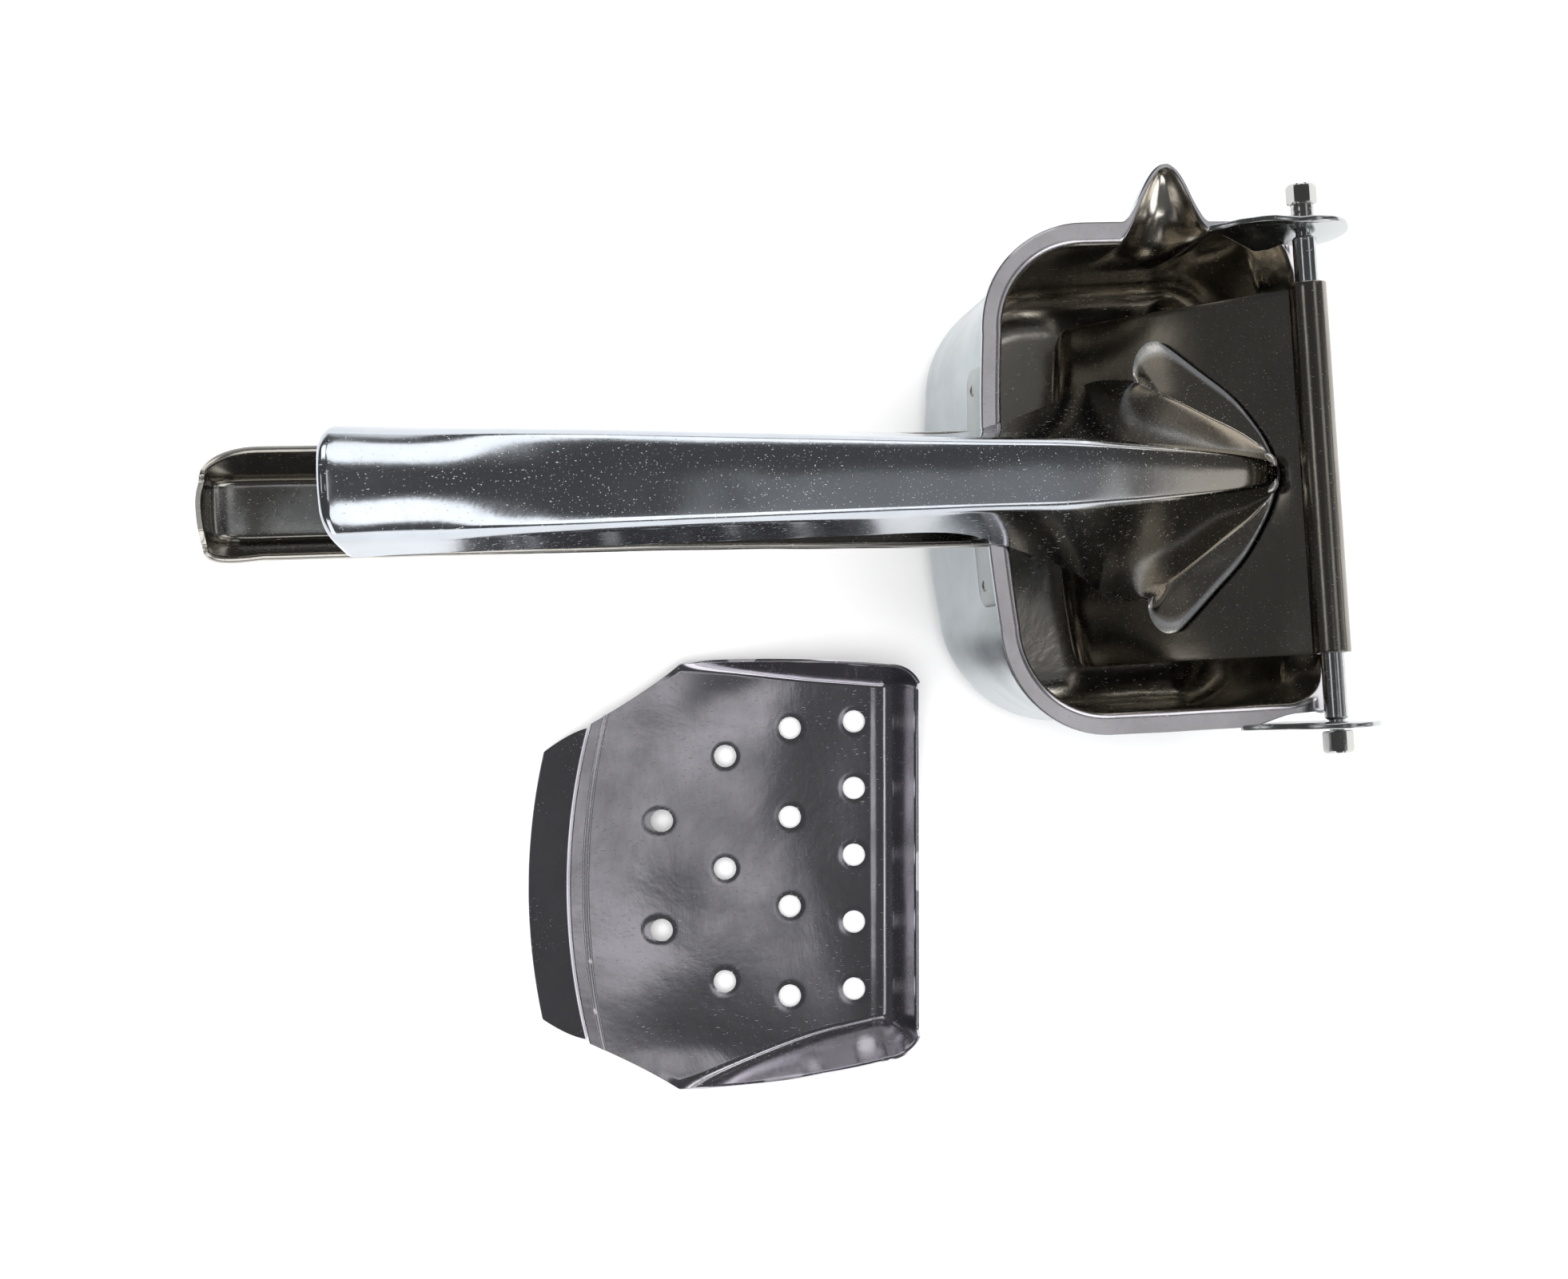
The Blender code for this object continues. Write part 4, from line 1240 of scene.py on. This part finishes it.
def tray_matrix():
    """Places the tray on the table, where it stands on its lip and on the far end of its floor."""
    lean = atan2(TRAY_LIP_FALL + TRAY_LIP_STEP, TRAY_FLOOR + TRAY_LIP)
    height = TRAY_FLOOR * sin(lean) + TRAY_SHEET * cos(lean)
    turn = Matrix.Rotation(TRAY_TURN, 4, "Z") @ Matrix.Rotation(lean, 4, "Y")
    return Matrix.Translation((TRAY_PLACE[0], TRAY_PLACE[1], height)) @ turn


def tray_rows():
    """Places of the sections along the tray, closest together at the folds."""
    rows = [blend(-TRAY_LIP, -0.0016, step / 14.0) for step in range(15)]
    rows.extend(blend(-0.0014, 0.0044, step / 24.0) for step in range(25))
    rows.extend(blend(0.0048, TRAY_FLOOR - 0.0010, step / 118.0) for step in range(119))
    rows.extend(blend(TRAY_FLOOR - 0.0006, TRAY_LENGTH - 0.0006, step / 30.0) for step in range(31))
    return rows


def tray_sides(along, half):
    """Side positions across one section, closest together on the two side walls."""
    sides = []
    for sign in (-1.0, 1.0):
        inner = half - tray_flare(along, sign)
        run = [sign * inner * step / 74.0 for step in range(75)]
        run.extend(sign * (inner + (half - inner) * step / 22.0) for step in range(1, 23))
        sides = sides + run[1:] if sides else list(reversed(run))
    return sides


def tray_row(along, place):
    half = tray_half_width(along)
    row = []
    for side in tray_sides(along, half):
        skewed = side + TRAY_SKEW * along
        height = tray_height(along, side, half) + hole_dip(along, skewed)
        point = Vector((along + lip_bow(along, side), skewed, height))
        point.z += tray_unevenness(along, side, point)
        row.append(place @ point)
    return row


def tray_hole_cutter(place):
    mesh = bpy.data.meshes.new("tray_holes")
    body = bmesh.new()
    for along, sides in TRAY_HOLE_ROWS:
        for side in sides:
            made = bmesh.ops.create_cone(
                body, cap_ends=True, segments=40, radius1=TRAY_HOLE, radius2=TRAY_HOLE, depth=0.012
            )
            for vertex in made["verts"]:
                vertex.co.x += along
                vertex.co.y += side + TRAY_HOLE_SKEW * along
    for vertex in body.verts:
        vertex.co = place @ vertex.co
    bmesh.ops.recalc_face_normals(body, faces=body.faces)
    body.to_mesh(mesh)
    body.free()
    return link_object("tray_holes", mesh)


def build_strainer(materials):
    place = tray_matrix()
    rows = [tray_row(along, place) for along in tray_rows()]
    tray = grid_piece("strainer_sheet", rows)
    thicken(tray, TRAY_SHEET * 0.97, 1.0)
    soften_edges(tray, 0.00020, 2, 60.0)
    apply_modifiers(tray)
    cutter = tray_hole_cutter(place)
    modifier = tray.modifiers.new("holes", "BOOLEAN")
    modifier.object = cutter
    modifier.solver = "EXACT"
    shade(tray, 45.0)
    bpy.data.objects.remove(cutter, do_unlink=True)
    finish_piece(tray, materials["tray"], "strainer_body", ["strainer"])


# Studio -------------------------------------------------------------------------------------------


def build_floor():
    graph = Graph("studio_floor")
    tone = graph.noise(graph.coordinates, 3.0, 3.0)
    colour = graph.mix(tone, (0.90, 0.90, 0.90), (0.94, 0.94, 0.94))
    graph.fill(graph.shader, Base_Color=colour, Roughness=0.9, Specular_IOR_Level=0.0)
    signs = ((-1.0, -1.0), (1.0, -1.0), (1.0, 1.0), (-1.0, 1.0))
    corners = [(x * FLOOR_HALF, y * FLOOR_HALF, 0.0) for x, y in signs]
    floor = mesh_piece("floor", corners, [(0, 1, 2, 3)])
    floor.location.z = -0.0002
    floor.data.materials.append(graph.material)


def soft_light(name, azimuth, elevation, distance, size, brightness):
    """A rectangular area light that faces the ricer, with azimuth from +X towards +Y in degrees."""
    light = bpy.data.lights.new(name, "AREA")
    light.shape = "RECTANGLE"
    light.size = size[0]
    light.size_y = size[1]
    light.energy = brightness * size[0] * size[1] * pi
    obj = link_object(name, light)
    turn = radians(azimuth)
    lift = radians(elevation)
    direction = Vector((cos(turn) * cos(lift), sin(turn) * cos(lift), sin(lift)))
    obj.location = LIGHT_TARGET + direction * distance
    obj.rotation_mode = "QUATERNION"
    obj.rotation_quaternion = direction.to_track_quat("Z", "Y")
    obj.visible_camera = False


def build_world():
    world = bpy.data.worlds.new("studio")
    bpy.context.scene.world = world
    world.use_nodes = True
    background = world.node_tree.nodes["Background"]
    background.inputs["Color"].default_value = (0.88, 0.88, 0.90, 1.0)
    background.inputs["Strength"].default_value = 0.10


def floor_fill():
    """An even, very soft light from above that stays out of reflections."""
    light = bpy.data.lights.new("floor_fill", "SUN")
    light.energy = 4.0
    light.angle = radians(60.0)
    obj = link_object("floor_fill", light)
    obj.location = (0.0, 0.0, 1.6)
    obj.visible_glossy = False


# Name, azimuth, elevation, distance, width and height, and brightness.
SOFT_LIGHTS = (
    ("side_spout", 46.0, 21.0, 1.2, (0.76, 0.56), 2.0),
    ("side_far", -38.0, 27.0, 1.2, (0.74, 0.52), 2.0),
    ("overhead_flange", 0.0, 55.0, 1.3, (1.10, 0.30), 0.76),
    ("overhead_tray", -18.0, 77.0, 1.3, (0.20, 0.26), 0.60),
    ("horizon_right", -7.0, 13.0, 1.5, (0.80, 0.34), 0.72),
    ("middle_right", -8.0, 28.0, 1.5, (0.80, 0.34), 0.24),
    ("front_band", -92.0, 18.0, 1.3, (0.80, 0.76), 1.9),
    ("back_band", 94.0, 36.0, 1.3, (1.00, 0.50), 2.2),
    ("left_band", 176.0, 54.0, 1.3, (0.60, 0.24), 1.2),
)


def build_lights():
    floor_fill()
    for light in SOFT_LIGHTS:
        soft_light(*light)


def build_camera():
    camera = bpy.data.cameras.new("camera")
    camera.lens = CAMERA_LENS
    camera.sensor_width = 36.0
    camera.clip_start = 0.01
    camera.clip_end = 20.0
    obj = link_object("camera", camera)
    turn = Matrix((CAMERA_RIGHT, CAMERA_UP, CAMERA_BACK)).transposed()
    obj.matrix_world = Matrix.Translation(CAMERA_PLACE) @ turn.to_4x4()
    bpy.context.scene.camera = obj


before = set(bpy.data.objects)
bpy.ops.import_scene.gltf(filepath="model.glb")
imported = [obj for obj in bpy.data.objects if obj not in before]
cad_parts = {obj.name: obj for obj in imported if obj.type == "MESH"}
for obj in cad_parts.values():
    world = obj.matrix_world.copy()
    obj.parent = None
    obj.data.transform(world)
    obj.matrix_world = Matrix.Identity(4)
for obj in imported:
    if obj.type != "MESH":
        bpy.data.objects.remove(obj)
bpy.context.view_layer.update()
bpy.context.scene.view_settings.view_transform = "Standard"
steels = make_materials()
build_bowl(steels)
build_ear("ear_spout_side", 1.0, 0.0490, 0.13, 0.0028, steels)
build_ear("ear_far_side", -1.0, 0.0530, 0.06, 0.0, steels)
build_press_plate(steels)
build_upper_handle(steels)
build_plate_welds(steels)
build_lower_handle(steels)
build_tab("handle_tab_spout_side", 1.0, steels)
build_tab("handle_tab_far_side", -1.0, steels)
build_rod_and_nuts(steels)
build_strainer(steels)
build_floor()
build_world()
build_lights()
build_camera()
